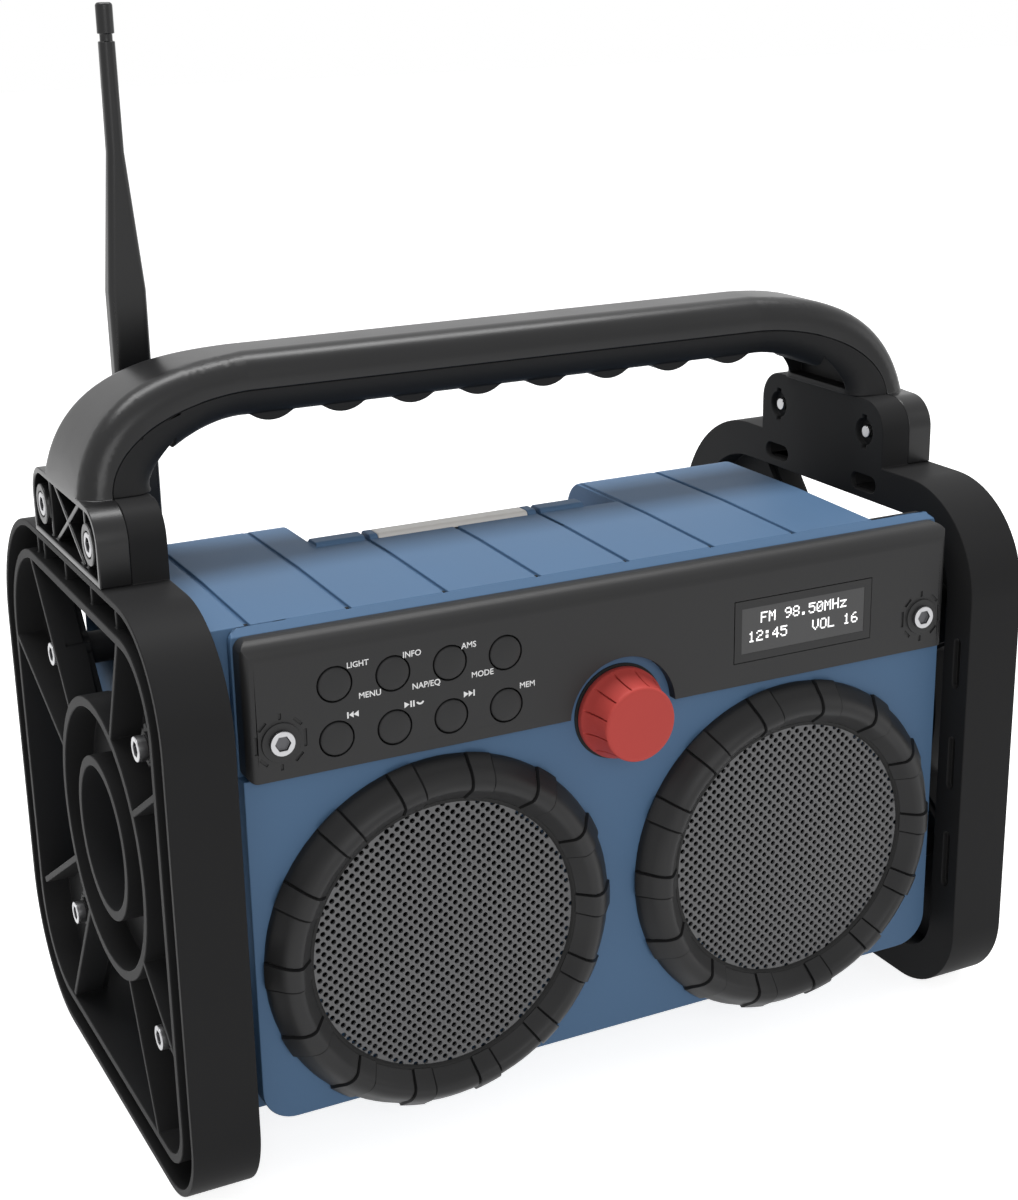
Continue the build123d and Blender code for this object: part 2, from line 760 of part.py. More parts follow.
    # Battery opening with a rebate for its cover, and the socket recess
    with BuildSketch(facing_front(housing_rear - shell_wall)):
        with Locations((battery_mid_x, cover_mid_z)):
            Rectangle(cover_width - 2 * cover_lip, cover_height - 2 * cover_lip)
        with Locations((socket_x, socket_z)):
            Rectangle(socket_panel_width - 2 * socket_ledge, socket_panel_height - 2 * socket_ledge)
    extrude(amount=-2 * shell_wall, mode=Mode.SUBTRACT)
    with BuildSketch(facing_front(housing_rear - cover_thickness)):
        with Locations((battery_mid_x, cover_mid_z)):
            RectangleRounded(cover_width + 2 * fit_gap, cover_height + 2 * fit_gap, cover_lip)
    extrude(amount=-2 * shell_wall, mode=Mode.SUBTRACT)
    with BuildSketch(facing_front(housing_rear - 2 * shell_wall)):
        with Locations((-cover_screw_x, cover_mid_z), (cover_screw_x, cover_mid_z)):
            Circle(small_screw_radius)
    extrude(amount=-housing_rear, mode=Mode.SUBTRACT)
    # Seat of the seal along the front rim
    with BuildSketch(facing_front(shell_split)):
        add(front_outline((shell_wall - seal_width) / 2))
        add(front_outline((shell_wall + seal_width) / 2), mode=Mode.SUBTRACT)
    extrude(amount=-seal_height / 2, mode=Mode.SUBTRACT)
    # Lugs that hold the pin of the socket flap
    with BuildSketch(side_plane(socket_x - flap_lug_spread / 2 - flap_lug_width)) as lug:
        with Locations((behind(housing_rear) + flap_axis_out, flap_axis_z)):
            Circle(flap_barrel_radius + flap_lug_wall)
            Rectangle(flap_axis_out, 2 * (flap_barrel_radius + flap_lug_wall), align=(Align.MAX, Align.CENTER))
            Circle(flap_pin_radius + running_clearance, mode=Mode.SUBTRACT)
    extrude(amount=flap_lug_width)
    with BuildSketch(side_plane(socket_x + flap_lug_spread / 2)):
        add(lug.sketch_local)
    extrude(amount=flap_lug_width)
finish(rear_shell.part, "rear_shell")

with BuildPart() as housing_seal:
    with BuildSketch(facing_front(shell_split - seal_height / 2)):
        add(front_outline((shell_wall - seal_width) / 2))
        add(front_outline((shell_wall + seal_width) / 2), mode=Mode.SUBTRACT)
    extrude(amount=-seal_height)
finish(housing_seal.part, "housing_seal")


# ------------------------------------------------------------------ control fascia
fascia_bend = 7.0
fascia_top = strip_bottom
rosette_rise = 0.8
fascia_boss_radius = 6.7
mark_depth = 0.6
mark_width = 1.0
side_mark = (8.4, 6.0)
corner_mark = (8.6, 3.6)
upright_mark = (8.7, 2.2)
button_proud = 0.5
button_edge = 0.3
button_flange = 7.0
button_flange_front = fascia_stand + 0.2
button_flange_back = button_flange_front + 0.8
button_stem_radius = 2.0
switch_gap = 0.05
button_stem_end = button_flange_back + 0.7
switch_front = button_stem_end + button_travel + switch_gap
key_board_size = (84.0, 38.0)
switch_size = 6.0
board_thickness = 1.6
key_mid_z = (button_rows[0] + button_rows[1]) / 2


with BuildPart() as control_fascia:
    with BuildSketch(side_plane(-fascia_half_width)) as fascia_profile:
        with BuildLine():
            Polyline(
                (behind(0), fascia_bottom),
                (behind(0), fascia_top),
                (behind(strip_front), fascia_top),
                (behind(strip_front), fascia_bottom),
                close=True,
            )
        make_face()
        fillet(fascia_profile.vertices().sort_by_distance((behind(0), fascia_top, 0))[0], fascia_bend)
    extrude(amount=2 * fascia_half_width)
    with BuildSketch(facing_front(0)) as fascia_front:
        with Locations((0, fascia_bottom)):
            Rectangle(2 * fascia_half_width, fascia_top - fascia_bottom, align=low_center)
        fillet(fascia_front.vertices().group_by(Axis.Y)[-1], fascia_corner)
        fillet(fascia_front.vertices().group_by(Axis.Y)[0], shell_wall)
        with Locations((knob_x, knob_z)):
            Circle(knob_notch_radius, mode=Mode.SUBTRACT)
    extrude(amount=-strip_front, mode=Mode.INTERSECT)
    # Both ends are rounded when seen from above, and everything between them is open at the back
    with BuildSketch(Plane.XY.offset(fascia_bottom)) as fascia_plan:
        with Locations((0, behind(0))):
            Rectangle(2 * fascia_half_width, strip_front, align=low_center)
        fillet(fascia_plan.vertices().group_by(Axis.Y)[0], fascia_end_radius)
    extrude(amount=fascia_top - fascia_bottom, mode=Mode.INTERSECT)
    with BuildSketch(facing_front(fascia_stand)):
        with Locations((0, fascia_bottom)):
            Rectangle(2 * (fascia_half_width - fascia_end_wall), fascia_seat_top - fascia_bottom, align=low_center)
    extrude(amount=-strip_front, mode=Mode.SUBTRACT)
    # A low boss and a ring of short marks around each of the two screws
    for side in (-1, 1):
        with BuildSketch(facing_front(-rosette_rise)):
            with Locations((side * fascia_screw_x, fascia_screw_z)):
                Circle(fascia_boss_radius)
        extrude(amount=-2 * rosette_rise)
        with BuildSketch(facing_front(0)):
            with Locations((side * fascia_screw_x, fascia_screw_z)):
                with PolarLocations(side_mark[0], 2):
                    Rectangle(mark_width, side_mark[1])
                with PolarLocations(corner_mark[0], 4, start_angle=45):
                    Rectangle(mark_width, corner_mark[1])
                with PolarLocations(upright_mark[0], 2, start_angle=90):
                    Rectangle(upright_mark[1], mark_width)
        extrude(amount=-mark_depth, mode=Mode.SUBTRACT)
    # Openings
    with BuildSketch(facing_front(-rosette_rise)):
        for row_z in button_rows:
            for button_x in button_xs:
                with Locations((button_x, row_z)):
                    Circle(button_radius + button_clearance)
        with Locations((display_mid_x, display_mid_z)):
            Rectangle(display_width, display_height)
        for side in (-1, 1):
            with Locations((side * fascia_screw_x, fascia_screw_z)):
                Circle(screw_hole_radius)
    extrude(amount=-2 * strip_front, mode=Mode.SUBTRACT)
    with BuildSketch(facing_front(-rosette_rise)):
        with Locations((display_mid_x, display_mid_z)):
            Rectangle(display_width + 2 * display_border, display_height + 2 * display_border)
    extrude(amount=-(rosette_rise + display_pane), mode=Mode.SUBTRACT)
finish(control_fascia.part, "control_fascia")

with BuildPart() as display_window:
    with BuildSketch(facing_front(0)):
        with Locations((display_mid_x, display_mid_z)):
            Rectangle(
                display_width + 2 * (display_border - fit_gap),
                display_height + 2 * (display_border - fit_gap),
            )
    extrude(amount=-display_pane)
finish(display_window.part, "display_window")

with BuildPart() as display_module:
    with BuildSketch(facing_front(fascia_stand)):
        with Locations((display_mid_x, display_mid_z)):
            Rectangle(
                display_width + 2 * (display_module_margin - fit_gap),
                display_height + 2 * (display_module_margin - fit_gap),
            )
    extrude(amount=-(shell_wall + board_thickness))
    with BuildSketch(facing_front(display_pane)):
        with Locations((display_mid_x, display_mid_z)):
            Rectangle(display_width - 2 * fit_gap, display_height - 2 * fit_gap)
    extrude(amount=-(fascia_stand - display_pane))
finish(display_module.part, "display_module")

# Push buttons: a cap that comes through the fascia, a flange that keeps it in, a stem on its switch
for row, row_z in enumerate(button_rows):
    for column, button_x in enumerate(button_xs):
        with BuildPart() as button:
            with BuildSketch(facing_front(-button_proud)):
                with Locations((button_x, row_z)):
                    Circle(button_radius)
            extrude(amount=-(button_proud + button_flange_back))
            fillet(button.edges().group_by(Axis.Y)[0], button_edge)
            with BuildSketch(facing_front(button_flange_front)):
                with Locations((button_x, row_z)):
                    Circle(button_flange)
            extrude(amount=-(button_flange_back - button_flange_front))
            with BuildSketch(facing_front(button_flange_back)):
                with Locations((button_x, row_z)):
                    Circle(button_stem_radius)
            extrude(amount=-(button_stem_end - button_flange_back))
        finish(button.part, f"button_{row + 1}_{column + 1}")

with BuildPart() as key_board:
    with BuildSketch(facing_front(panel_back)):
        with Locations((key_window[0], key_mid_z)):
            Rectangle(*key_board_size)
    extrude(amount=-board_thickness)
    with BuildSketch(facing_front(switch_front)):
        for row_z in button_rows:
            for button_x in button_xs:
                with Locations((button_x, row_z)):
                    Rectangle(switch_size, switch_size)
    extrude(amount=-(panel_back - switch_front))
finish(key_board.part, "key_board")

# ------------------------------------------------------------------ volume knob and its encoder
knob_edge = 0.9
knob_skirt = 2.0
bore_depth = 3.0
groove_bite = 0.8
groove_cut = 0.8
encoder_size = 14.0
encoder_depth = 7.0
main_board_size = (92.0, 60.0)
large_chip = (22.0, 22.0)
small_chip = (10.0, 26.0)
chip_height = 3.0
shaft_end_gap = 0.3
knob_taper_start = knob_base - knob_skirt
knob_bore_end = knob_face + bore_depth

with BuildPart() as volume_knob:
    with BuildSketch(turning_plane(knob_x, knob_z)):
        with BuildLine():
            Polyline(
                (shaft_radius + running_clearance, knob_base),
                (knob_base_radius, knob_base),
                (knob_base_radius, knob_taper_start),
                (knob_face_radius + knob_edge, knob_face + knob_edge),
                (knob_face_radius, knob_face),
                (0, knob_face),
                (0, knob_bore_end),
                (shaft_radius + running_clearance, knob_bore_end),
                close=True,
            )
        make_face()
    revolve(axis=turning_axis(knob_x, knob_z))
    for groove in range(knob_grooves):
        with BuildSketch(turning_plane(knob_x, knob_z, 360 * (groove + 0.5) / knob_grooves)):
            with BuildLine():
                Polyline(
                    (knob_base_radius - groove_bite, knob_taper_start),
                    (knob_base_radius + groove_bite, knob_taper_start),
                    (knob_face_radius + 2 * groove_bite, knob_face + knob_edge),
                    (knob_face_radius + knob_edge - groove_bite, knob_face + knob_edge),
                    close=True,
                )
            make_face()
        extrude(amount=groove_cut / 2, both=True, mode=Mode.SUBTRACT)
finish(volume_knob.part, "volume_knob")

with BuildPart() as rotary_encoder:
    with BuildSketch(facing_front(knob_bore_end + shaft_end_gap)):
        with Locations((knob_x, knob_z)):
            Circle(shaft_radius)
    extrude(amount=-(panel_back - knob_bore_end))
    with BuildSketch(facing_front(panel_front)):
        with Locations((knob_x, knob_z)):
            Circle(1.5 * shaft_radius - running_clearance)
    extrude(amount=-shell_wall)
    with BuildSketch(facing_front(panel_back)):
        with Locations((knob_x, knob_z)):
            Rectangle(encoder_size, encoder_size)
    extrude(amount=-encoder_depth)
finish(rotary_encoder.part, "rotary_encoder")

with BuildPart() as main_board:
    with BuildSketch(facing_front(board_front)):
        with Locations((sum(board_post_xs) / 2, sum(board_post_zs) / 2)):
            Rectangle(*main_board_size)
    extrude(amount=-board_thickness)
    with BuildSketch(facing_front(board_front + board_thickness)):
        with Locations((0, key_mid_z)):
            Rectangle(*large_chip)
        with Locations((board_post_xs[1], key_mid_z)):
            Rectangle(*small_chip)
    extrude(amount=-chip_height)
finish(main_board.part, "main_board")

# ------------------------------------------------------------------ loudspeakers
lip_thickness = 1.4
rebate_radius = grille_radius + 2.1
bezel_skirt = 2.0
flange_radius = rebate_radius + 2.0
flange_thickness = 2.0
basket_neck = cone_opening_radius - 12.5
basket_depth = 36.0
basket_wall = 1.8
magnet_depth = 14.0
coil_radius = 14.0
cone_depth = 27.0
cone_wall = 1.2
cone_gap = 0.1
dust_cap_rise = 5.0
dust_cap_wall = 1.2
pole_rise = 4.0
pole_gap = 0.3
plate_gap = 0.4
grille_sheet = 0.9
grille_rim = 1.2
neck_flange = 3.0
cone_rim = cone_opening_radius - 4.5
magnet_radius = cone_opening_radius - 16.5


def bezel_flanks(rise):
    """Outer flank, crest and inner flank of a bezel ring, raised by rise, in the current line."""
    crest = (bezel_crest_radius, bezel_crest - rise)
    outer = ThreePointArc(
        (bezel_outer_radius + rise, bezel_skirt),
        (bezel_outer_radius - 2.4 + rise * 0.7, bezel_crest * 0.6 - rise * 0.7),
        crest,
    )
    inner = ThreePointArc(
        crest,
        ((bezel_crest_radius + grille_radius) / 2 - rise * 0.5, bezel_crest * 0.76 - rise * 0.8),
        (grille_radius + 1.2 * rise, grille_face - lip_thickness - 0.6 * rise),
    )
    return outer, inner


for name, (center_x, center_z) in zip(("left", "right"), speaker_centers):
    axis = turning_axis(center_x, center_z)

    with BuildPart() as speaker_bezel:
        with BuildSketch(turning_plane(center_x, center_z)):
            with BuildLine():
                outer, inner = bezel_flanks(0)
                Polyline(
                    inner @ 1,
                    (grille_radius, grille_face),
                    (rebate_radius, grille_face),
                    (rebate_radius, panel_front),
                    (bezel_outer_radius, panel_front),
                    outer @ 0,
                )
            make_face()
        revolve(axis=axis)
        for band in range(bezel_bands):
            start = 360 * band / bezel_bands - bezel_band_angle / 2
            with BuildSketch(turning_plane(center_x, center_z, start)):
                with BuildLine():
                    outer, inner = bezel_flanks(bezel_band_rise)
                    Polyline(inner @ 1, (bezel_crest_radius, grille_face), outer @ 0)
                make_face()
            revolve(axis=axis, revolution_arc=-bezel_band_angle)
    finish(speaker_bezel.part, f"{name}_speaker_bezel")

    with BuildPart() as grille:
        with BuildSketch(facing_front(grille_face)):
            with Locations((center_x, center_z)):
                Circle(rebate_radius - fit_gap)
        extrude(amount=-(panel_front - grille_face))
        with BuildSketch(facing_front(grille_face + grille_sheet)):
            with Locations((center_x, center_z)):
                Circle(rebate_radius - fit_gap - grille_rim)
        extrude(amount=-panel_front, mode=Mode.SUBTRACT)
    finish(grille.part, f"{name}_speaker_grille")

    with BuildPart() as basket:
        with BuildSketch(turning_plane(center_x, center_z)):
            with BuildLine():
                Polyline(
                    (cone_opening_radius, panel_back),
                    (flange_radius, panel_back),
                    (flange_radius, panel_back + flange_thickness),
                    (cone_opening_radius + 2 * basket_wall, panel_back + flange_thickness),
                    (basket_neck + basket_wall, basket_depth - basket_wall),
                    (basket_neck + basket_wall, basket_depth),
                    (coil_radius + neck_flange, basket_depth),
                    (coil_radius + neck_flange, basket_depth - basket_wall),
                    (basket_neck - basket_wall, basket_depth - basket_wall),
                    (cone_opening_radius - basket_wall, panel_back + 2 * flange_thickness),
                    (cone_rim, panel_back + 2 * flange_thickness),
                    (cone_rim, panel_back + flange_thickness),
                    (cone_opening_radius, panel_back + flange_thickness),
                    close=True,
                )
            make_face()
        revolve(axis=axis)
    finish(basket.part, f"{name}_driver_basket")

    with BuildPart() as cone:
        with BuildSketch(turning_plane(center_x, center_z)):
            with BuildLine():
                Polyline(
                    (cone_opening_radius - cone_gap, panel_back + flange_thickness),
                    (cone_opening_radius - cone_gap, panel_back + flange_thickness - cone_wall),
                    (cone_rim, panel_back + flange_thickness - cone_wall),
                    (coil_radius, cone_depth - cone_wall),
                    (0, cone_depth - dust_cap_rise - dust_cap_wall),
                    (0, cone_depth - dust_cap_rise),
                    (coil_radius - cone_wall, cone_depth),
                    (coil_radius - cone_wall, basket_depth),
                    (coil_radius, basket_depth),
                    (coil_radius, cone_depth),
                    (cone_rim, panel_back + flange_thickness),
                    close=True,
                )
            make_face()
        revolve(axis=axis)
    finish(cone.part, f"{name}_driver_cone")

    with BuildPart() as magnet:
        with BuildSketch(turning_plane(center_x, center_z)):
            with BuildLine():
                Polyline(
                    (0, basket_depth - pole_rise),
                    (coil_radius - cone_wall - pole_gap, basket_depth - pole_rise),
                    (coil_radius - cone_wall - pole_gap, basket_depth + magnet_depth - pole_rise),
                    (coil_radius + plate_gap, basket_depth + magnet_depth - pole_rise),
                    (coil_radius + plate_gap, basket_depth),
                    (magnet_radius, basket_depth),
                    (magnet_radius, basket_depth + magnet_depth),
                    (0, basket_depth + magnet_depth),
                    close=True,
                )
            make_face()
        revolve(axis=axis)
    finish(magnet.part, f"{name}_driver_magnet")

# ------------------------------------------------------------------ work light
lens_wall = 1.5
lens_gap = 0.1
led_count = 5
led_pitch = 11.0
led_size = 3.5
led_height = 1.0
light_board_gap = 0.5
lens_width = lens_length - 2 * lens_gap
bar_mid_y = behind(recess_front + light_bar_depth / 2)

with BuildPart() as light_lens:
    with BuildSketch(side_plane(lens_mid_x - lens_width / 2)) as lens_profile:
        with Locations((behind(recess_front), recess_floor)):
            Rectangle(light_bar_depth, light_bar_top - recess_floor, align=(Align.MIN, Align.MIN))
        fillet(lens_profile.vertices().group_by(Axis.Y)[-1], bar_corner)
    extrude(amount=lens_width)
    with BuildSketch(Plane.XY.offset(recess_floor)):
        with Locations((lens_mid_x, bar_mid_y)):
            Rectangle(lens_width - 2 * lens_wall, light_bar_depth - 2 * lens_wall)
    extrude(amount=light_bar_top - recess_floor - 2 * lens_wall, mode=Mode.SUBTRACT)
finish(light_lens.part, "light_lens")

with BuildPart() as light_board:
    with BuildSketch(Plane.XY.offset(recess_floor)):
        with Locations((lens_mid_x, bar_mid_y)):
            Rectangle(
                lens_width - 2 * (lens_wall + light_board_gap),
                light_bar_depth - 2 * (lens_wall + light_board_gap),
            )
    extrude(amount=board_thickness)
    with BuildSketch(Plane.XY.offset(recess_floor + board_thickness)):
        with Locations((lens_mid_x, bar_mid_y)):
            with GridLocations(led_pitch, 0, led_count, 1):
                Rectangle(led_size, led_size)
    extrude(amount=led_height)
finish(light_board.part, "light_board")

# ------------------------------------------------------------------ aerial
mount_length = 23.0
mount_width = 28.5
mount_thickness = 3.0
ear_thickness = 4.0
ear_radius = 6.5
blade_width = 13.7
blade_corner = 2.4
blade_straight_to = aerial_tip_z - 97.8
blade_neck_from = aerial_tip_z - 49.8
blade_neck = 6.0
rod_end = aerial_tip_z - 12.8
rod_width = 5.6
tip_neck_radius = 2.2
tip_radius = 2.95
tip_from = aerial_tip_z - 10.3
tip_edge = 1.2
eye_front = aerial_back - aerial_eye_width / 2
eye_rear = aerial_back + aerial_eye_width / 2
ear_fronts = (eye_front - aerial_fork_gap - ear_thickness, eye_rear + aerial_fork_gap)
mount_front = ear_fronts[0]
pin_length = ear_fronts[1] + ear_thickness - ear_fronts[0]
pivot = (aerial_x, aerial_pivot_z)


def blade_section(height, across, along):
    """Rounded section of the aerial at a height."""
    with BuildSketch(Plane.XY.offset(height)) as section:
        with Locations((aerial_x, behind(aerial_back))):
            RectangleRounded(across, along, blade_corner)
    return section.sketch


with BuildPart() as aerial_mount:
    with BuildSketch(Plane.XY.offset(ledge_height)):
        with Locations((aerial_x, behind(mount_front))):
            Rectangle(mount_length, mount_width, align=low_center)
    extrude(amount=mount_thickness)
    for ear_front in ear_fronts:
        with BuildSketch(facing_front(ear_front)):
            with Locations(pivot):
                Circle(ear_radius)
            with Locations((aerial_x, ledge_height)):
                Rectangle(2 * ear_radius, aerial_pivot_z - ledge_height, align=low_center)
        extrude(amount=-ear_thickness)
    with BuildSketch(facing_front(mount_front)):
        with Locations(pivot):
            Circle(aerial_pin_radius)
    extrude(amount=-pin_length, mode=Mode.SUBTRACT)
finish(aerial_mount.part, "aerial_mount")

with BuildPart() as aerial:
    with BuildSketch(facing_front(eye_front)):
        with Locations(pivot):
            Circle(aerial_eye_radius)
    extrude(amount=-aerial_eye_width)
    add(blade_section(aerial_pivot_z, blade_width, aerial_eye_width))
    extrude(amount=blade_straight_to - aerial_pivot_z)
    loft(
        [
            blade_section(blade_straight_to, blade_width, aerial_eye_width),
            blade_section(blade_neck_from, blade_neck, blade_neck),
        ]
    )
    loft(
        [
            blade_section(blade_neck_from, blade_neck, blade_neck),
            blade_section(rod_end, rod_width, rod_width),
        ]
    )
    with BuildSketch(Plane.XY.offset(rod_end)):
        with Locations((aerial_x, behind(aerial_back))):
            Circle(tip_neck_radius)
    extrude(amount=tip_from - rod_end)
    with BuildSketch(Plane.XY.offset(tip_from)):
        with Locations((aerial_x, behind(aerial_back))):
            Circle(tip_radius)
    extrude(amount=aerial_tip_z - tip_from)
    fillet(aerial.edges().group_by(Axis.Z)[-1], tip_edge)
    with BuildSketch(facing_front(eye_front)):
        with Locations(pivot):
            Circle(aerial_pin_radius + running_clearance)
    extrude(amount=-aerial_eye_width, mode=Mode.SUBTRACT)
finish(aerial.part, "aerial")

with BuildPart() as aerial_pin:
    with BuildSketch(facing_front(mount_front)):
        with Locations(pivot):
            Circle(aerial_pin_radius)
    extrude(amount=-pin_length)
finish(aerial_pin.part, "aerial_pin")

# ------------------------------------------------------------------ battery compartment
case_wall = 2.0
case_flange = 6.0
case_flange_thickness = 2.4
case_depth = 39.0
shelf_thickness = 1.6
finger_rib_count = 5
finger_rib_pitch = 5.0
finger_rib_size = (40.0, 2.0)
finger_rib_rise = 0.8
rear_inside = housing_rear - shell_wall
case_width = cover_width - 2 * cover_lip
case_height = cover_height - 2 * cover_lip
case_bottom = cover_mid_z - case_height / 2
cell_depth = rear_inside - case_depth + case_wall + cell_radius
cell_rows = (case_bottom + cell_radius, case_bottom + 3 * cell_radius + shelf_thickness)

with BuildPart() as battery_case:
    with BuildSketch(facing_front(rear_inside - case_depth)):
        with Locations((battery_mid_x, cover_mid_z)):
            Rectangle(case_width + 2 * case_wall, case_height + 2 * case_wall)
    extrude(amount=-case_depth)
    with BuildSketch(facing_front(rear_inside - case_flange_thickness)):
        with Locations((battery_mid_x, cover_mid_z)):
            Rectangle(case_width + 2 * case_wall + 2 * case_flange, case_height + 2 * case_wall + case_flange)
    extrude(amount=-case_flange_thickness)
    with BuildSketch(facing_front(rear_inside - case_depth + case_wall)):
        with Locations((battery_mid_x, cover_mid_z)):
            Rectangle(case_width, case_height)
    extrude(amount=-case_depth, mode=Mode.SUBTRACT)
    with BuildSketch(facing_front(rear_inside - case_depth + case_wall)):
        with Locations((battery_mid_x, case_bottom + 2 * cell_radius)):
            Rectangle(case_width, shelf_thickness, align=low_center)
    extrude(amount=-(case_depth - case_wall - cover_lip))
    with BuildSketch(facing_front(rear_inside - case_flange_thickness)):
        with Locations((-cover_screw_x, cover_mid_z), (cover_screw_x, cover_mid_z)):
            Circle(small_screw_radius)
    extrude(amount=-case_flange_thickness, mode=Mode.SUBTRACT)
finish(battery_case.part, "battery_case")

with BuildPart() as battery_cells:
    for row_z in cell_rows:
        for side in (-1, 1):
            with BuildSketch(side_plane(battery_mid_x + side * cell_gap / 2)):
                with Locations((behind(cell_depth), row_z)):
                    Circle(cell_radius)
            extrude(amount=side * cell_length)
finish(battery_cells.part, "battery_cells")

with BuildPart() as battery_cover:
    with BuildSketch(facing_front(housing_rear - cover_thickness)):
        with Locations((battery_mid_x, cover_mid_z)):
            RectangleRounded(cover_width, cover_height, cover_lip)
    extrude(amount=-cover_thickness)
    # Finger ribs on the outside
    with BuildSketch(facing_front(housing_rear)):
        with Locations((battery_mid_x, cover_mid_z)):
            with GridLocations(0, finger_rib_pitch, 1, finger_rib_count):
                SlotOverall(*finger_rib_size)
    extrude(amount=-finger_rib_rise)
    with BuildSketch(facing_front(housing_rear - cover_thickness)):
        with Locations((-cover_screw_x, cover_mid_z), (cover_screw_x, cover_mid_z)):
            Circle(small_screw_radius)
    extrude(amount=-cover_thickness, mode=Mode.SUBTRACT)
finish(battery_cover.part, "battery_cover")

# ------------------------------------------------------------------ power and audio sockets
socket_plate_size = (40.0, 24.0)
socket_plate_thickness = 2.5
power_socket_x = socket_x - 8.0
audio_socket_x = socket_x + 10.0
power_bore = 3.2
audio_bore = 1.8
socket_wall = 2.2
socket_depth = 12.0
socket_floor = 2.0
flap_gap = 0.3
flap_width = 42.0
flap_height = 25.0
flap_front = housing_rear + flap_gap
flap_barrel_length = flap_lug_spread - 0.4
flap_neck = 2.4

with BuildPart() as socket_plate:
    with BuildSketch(facing_front(rear_inside - socket_plate_thickness)):
        with Locations((socket_x, socket_z)):
            Rectangle(*socket_plate_size)
    extrude(amount=-socket_plate_thickness)
    with BuildSketch(facing_front(rear_inside)):
        with Locations((power_socket_x, socket_z)):
            Rectangle(2 * (power_bore + socket_wall), 2 * (power_bore + socket_wall))
        with Locations((audio_socket_x, socket_z)):
            Rectangle(2 * (audio_bore + socket_wall), 2 * (audio_bore + socket_wall))
    extrude(amount=socket_depth)
    with BuildSketch(facing_front(rear_inside)):
        with Locations((power_socket_x, socket_z)):
            Circle(power_bore)
        with Locations((audio_socket_x, socket_z)):
            Circle(audio_bore)
    extrude(amount=socket_depth - socket_floor, mode=Mode.SUBTRACT)
finish(socket_plate.part, "socket_plate")

with BuildPart() as socket_flap:
    with BuildSketch(facing_front(flap_front)):
        with Locations((socket_x, socket_z)):
            RectangleRounded(flap_width, flap_height, flap_thickness)
    extrude(amount=-flap_thickness)
    with BuildSketch(side_plane(socket_x - flap_barrel_length / 2)):
        with Locations((behind(housing_rear + flap_axis_out), flap_axis_z)):
            Circle(flap_barrel_radius)
            Rectangle(flap_neck, 2 * flap_barrel_radius, align=(Align.CENTER, Align.MAX))
    extrude(amount=flap_barrel_length)
    with BuildSketch(side_plane(socket_x - flap_lug_spread / 2 - flap_lug_width)):
        with Locations((behind(housing_rear + flap_axis_out), flap_axis_z)):
            Circle(flap_pin_radius)
    extrude(amount=flap_lug_spread + 2 * flap_lug_width)
finish(socket_flap.part, "socket_flap")

# ------------------------------------------------------------------ fasteners
washer_radius = 5.2
screw_reach = 12.0
small_screw_reach = 11.0
fascia_head_height = 1.4
fascia_shank = 9.0
cover_head_height = 1.6
cover_shank = shell_wall + case_flange_thickness - small_screw_gap / 2
cover_head_radius = 2.0
shank_start = 0.6
head_seat_x = half_width - head_height
washer_x = head_seat_x - washer_thickness


side_screw_groups = [
    ("frame_screws", screw_spots, frame_inner_x - screw_reach),
    ("handle_screws", [(screw_y, foot_screw_z) for screw_y in foot_screw_ys], frame_inner_x + shank_start),
]

# Socket-head screws that run inward from the outer face of each side
for name, spots, shank_end in side_screw_groups:
    with BuildPart() as side_screws:
        for side in (-1, 1):
            with BuildSketch(side_plane(side * head_seat_x)):
                with Locations(*spots):
                    Circle(head_radius)
            extrude(amount=side * head_height)
            with BuildSketch(side_plane(side * half_width)):
                with Locations(*spots):
                    RegularPolygon(hex_across / 2, 6, major_radius=False)
            extrude(amount=-side * hex_depth, mode=Mode.SUBTRACT)
            with BuildSketch(side_plane(side * shank_end)):
                with Locations(*spots):
                    Circle(screw_radius)
            extrude(amount=side * (head_seat_x - shank_end))
    finish(side_screws.part, name)

with BuildPart() as frame_washers:
    for side in (-1, 1):
        with BuildSketch(side_plane(side * washer_x)):
            with Locations(*screw_spots):
                Circle(washer_radius)
                Circle(screw_hole_radius, mode=Mode.SUBTRACT)
        extrude(amount=side * washer_thickness)
finish(frame_washers.part, "frame_washers")

with BuildPart() as fascia_screws:
    for side in (-1, 1):
        with BuildSketch(facing_front(-rosette_rise - fascia_head_height)):
            with Locations((side * fascia_screw_x, fascia_screw_z)):
                Circle(head_radius)
        extrude(amount=-fascia_head_height)
        with BuildSketch(facing_front(-rosette_rise - fascia_head_height)):
            with Locations((side * fascia_screw_x, fascia_screw_z)):
                RegularPolygon(hex_across / 2, 6, major_radius=False)
        extrude(amount=-hex_depth / 2, mode=Mode.SUBTRACT)
        with BuildSketch(facing_front(-rosette_rise)):
            with Locations((side * fascia_screw_x, fascia_screw_z)):
                Circle(screw_radius)
        extrude(amount=-(rosette_rise + fascia_shank))
finish(fascia_screws.part, "fascia_screws")

with BuildPart() as shell_screws:
    with BuildSketch(facing_front(post_split + well_wall)):
        with Locations(*shell_screw_spots):
            Circle(small_head_radius)
    extrude(amount=-small_head_height)
    with BuildSketch(facing_front(post_split + well_wall)):
        with Locations(*shell_screw_spots):
            Circle(small_screw_radius)
    extrude(amount=well_wall + small_screw_reach)
finish(shell_screws.part, "shell_screws")

with BuildPart() as cover_screws:
    for side in (-1, 1):
        with BuildSketch(facing_front(housing_rear)):
            with Locations((side * cover_screw_x, cover_mid_z)):
                Circle(cover_head_radius)
        extrude(amount=-cover_head_height)
        with BuildSketch(facing_front(housing_rear)):
            with Locations((side * cover_screw_x, cover_mid_z)):
                Circle(small_screw_radius)
        extrude(amount=cover_shank)
finish(cover_screws.part, "cover_screws")
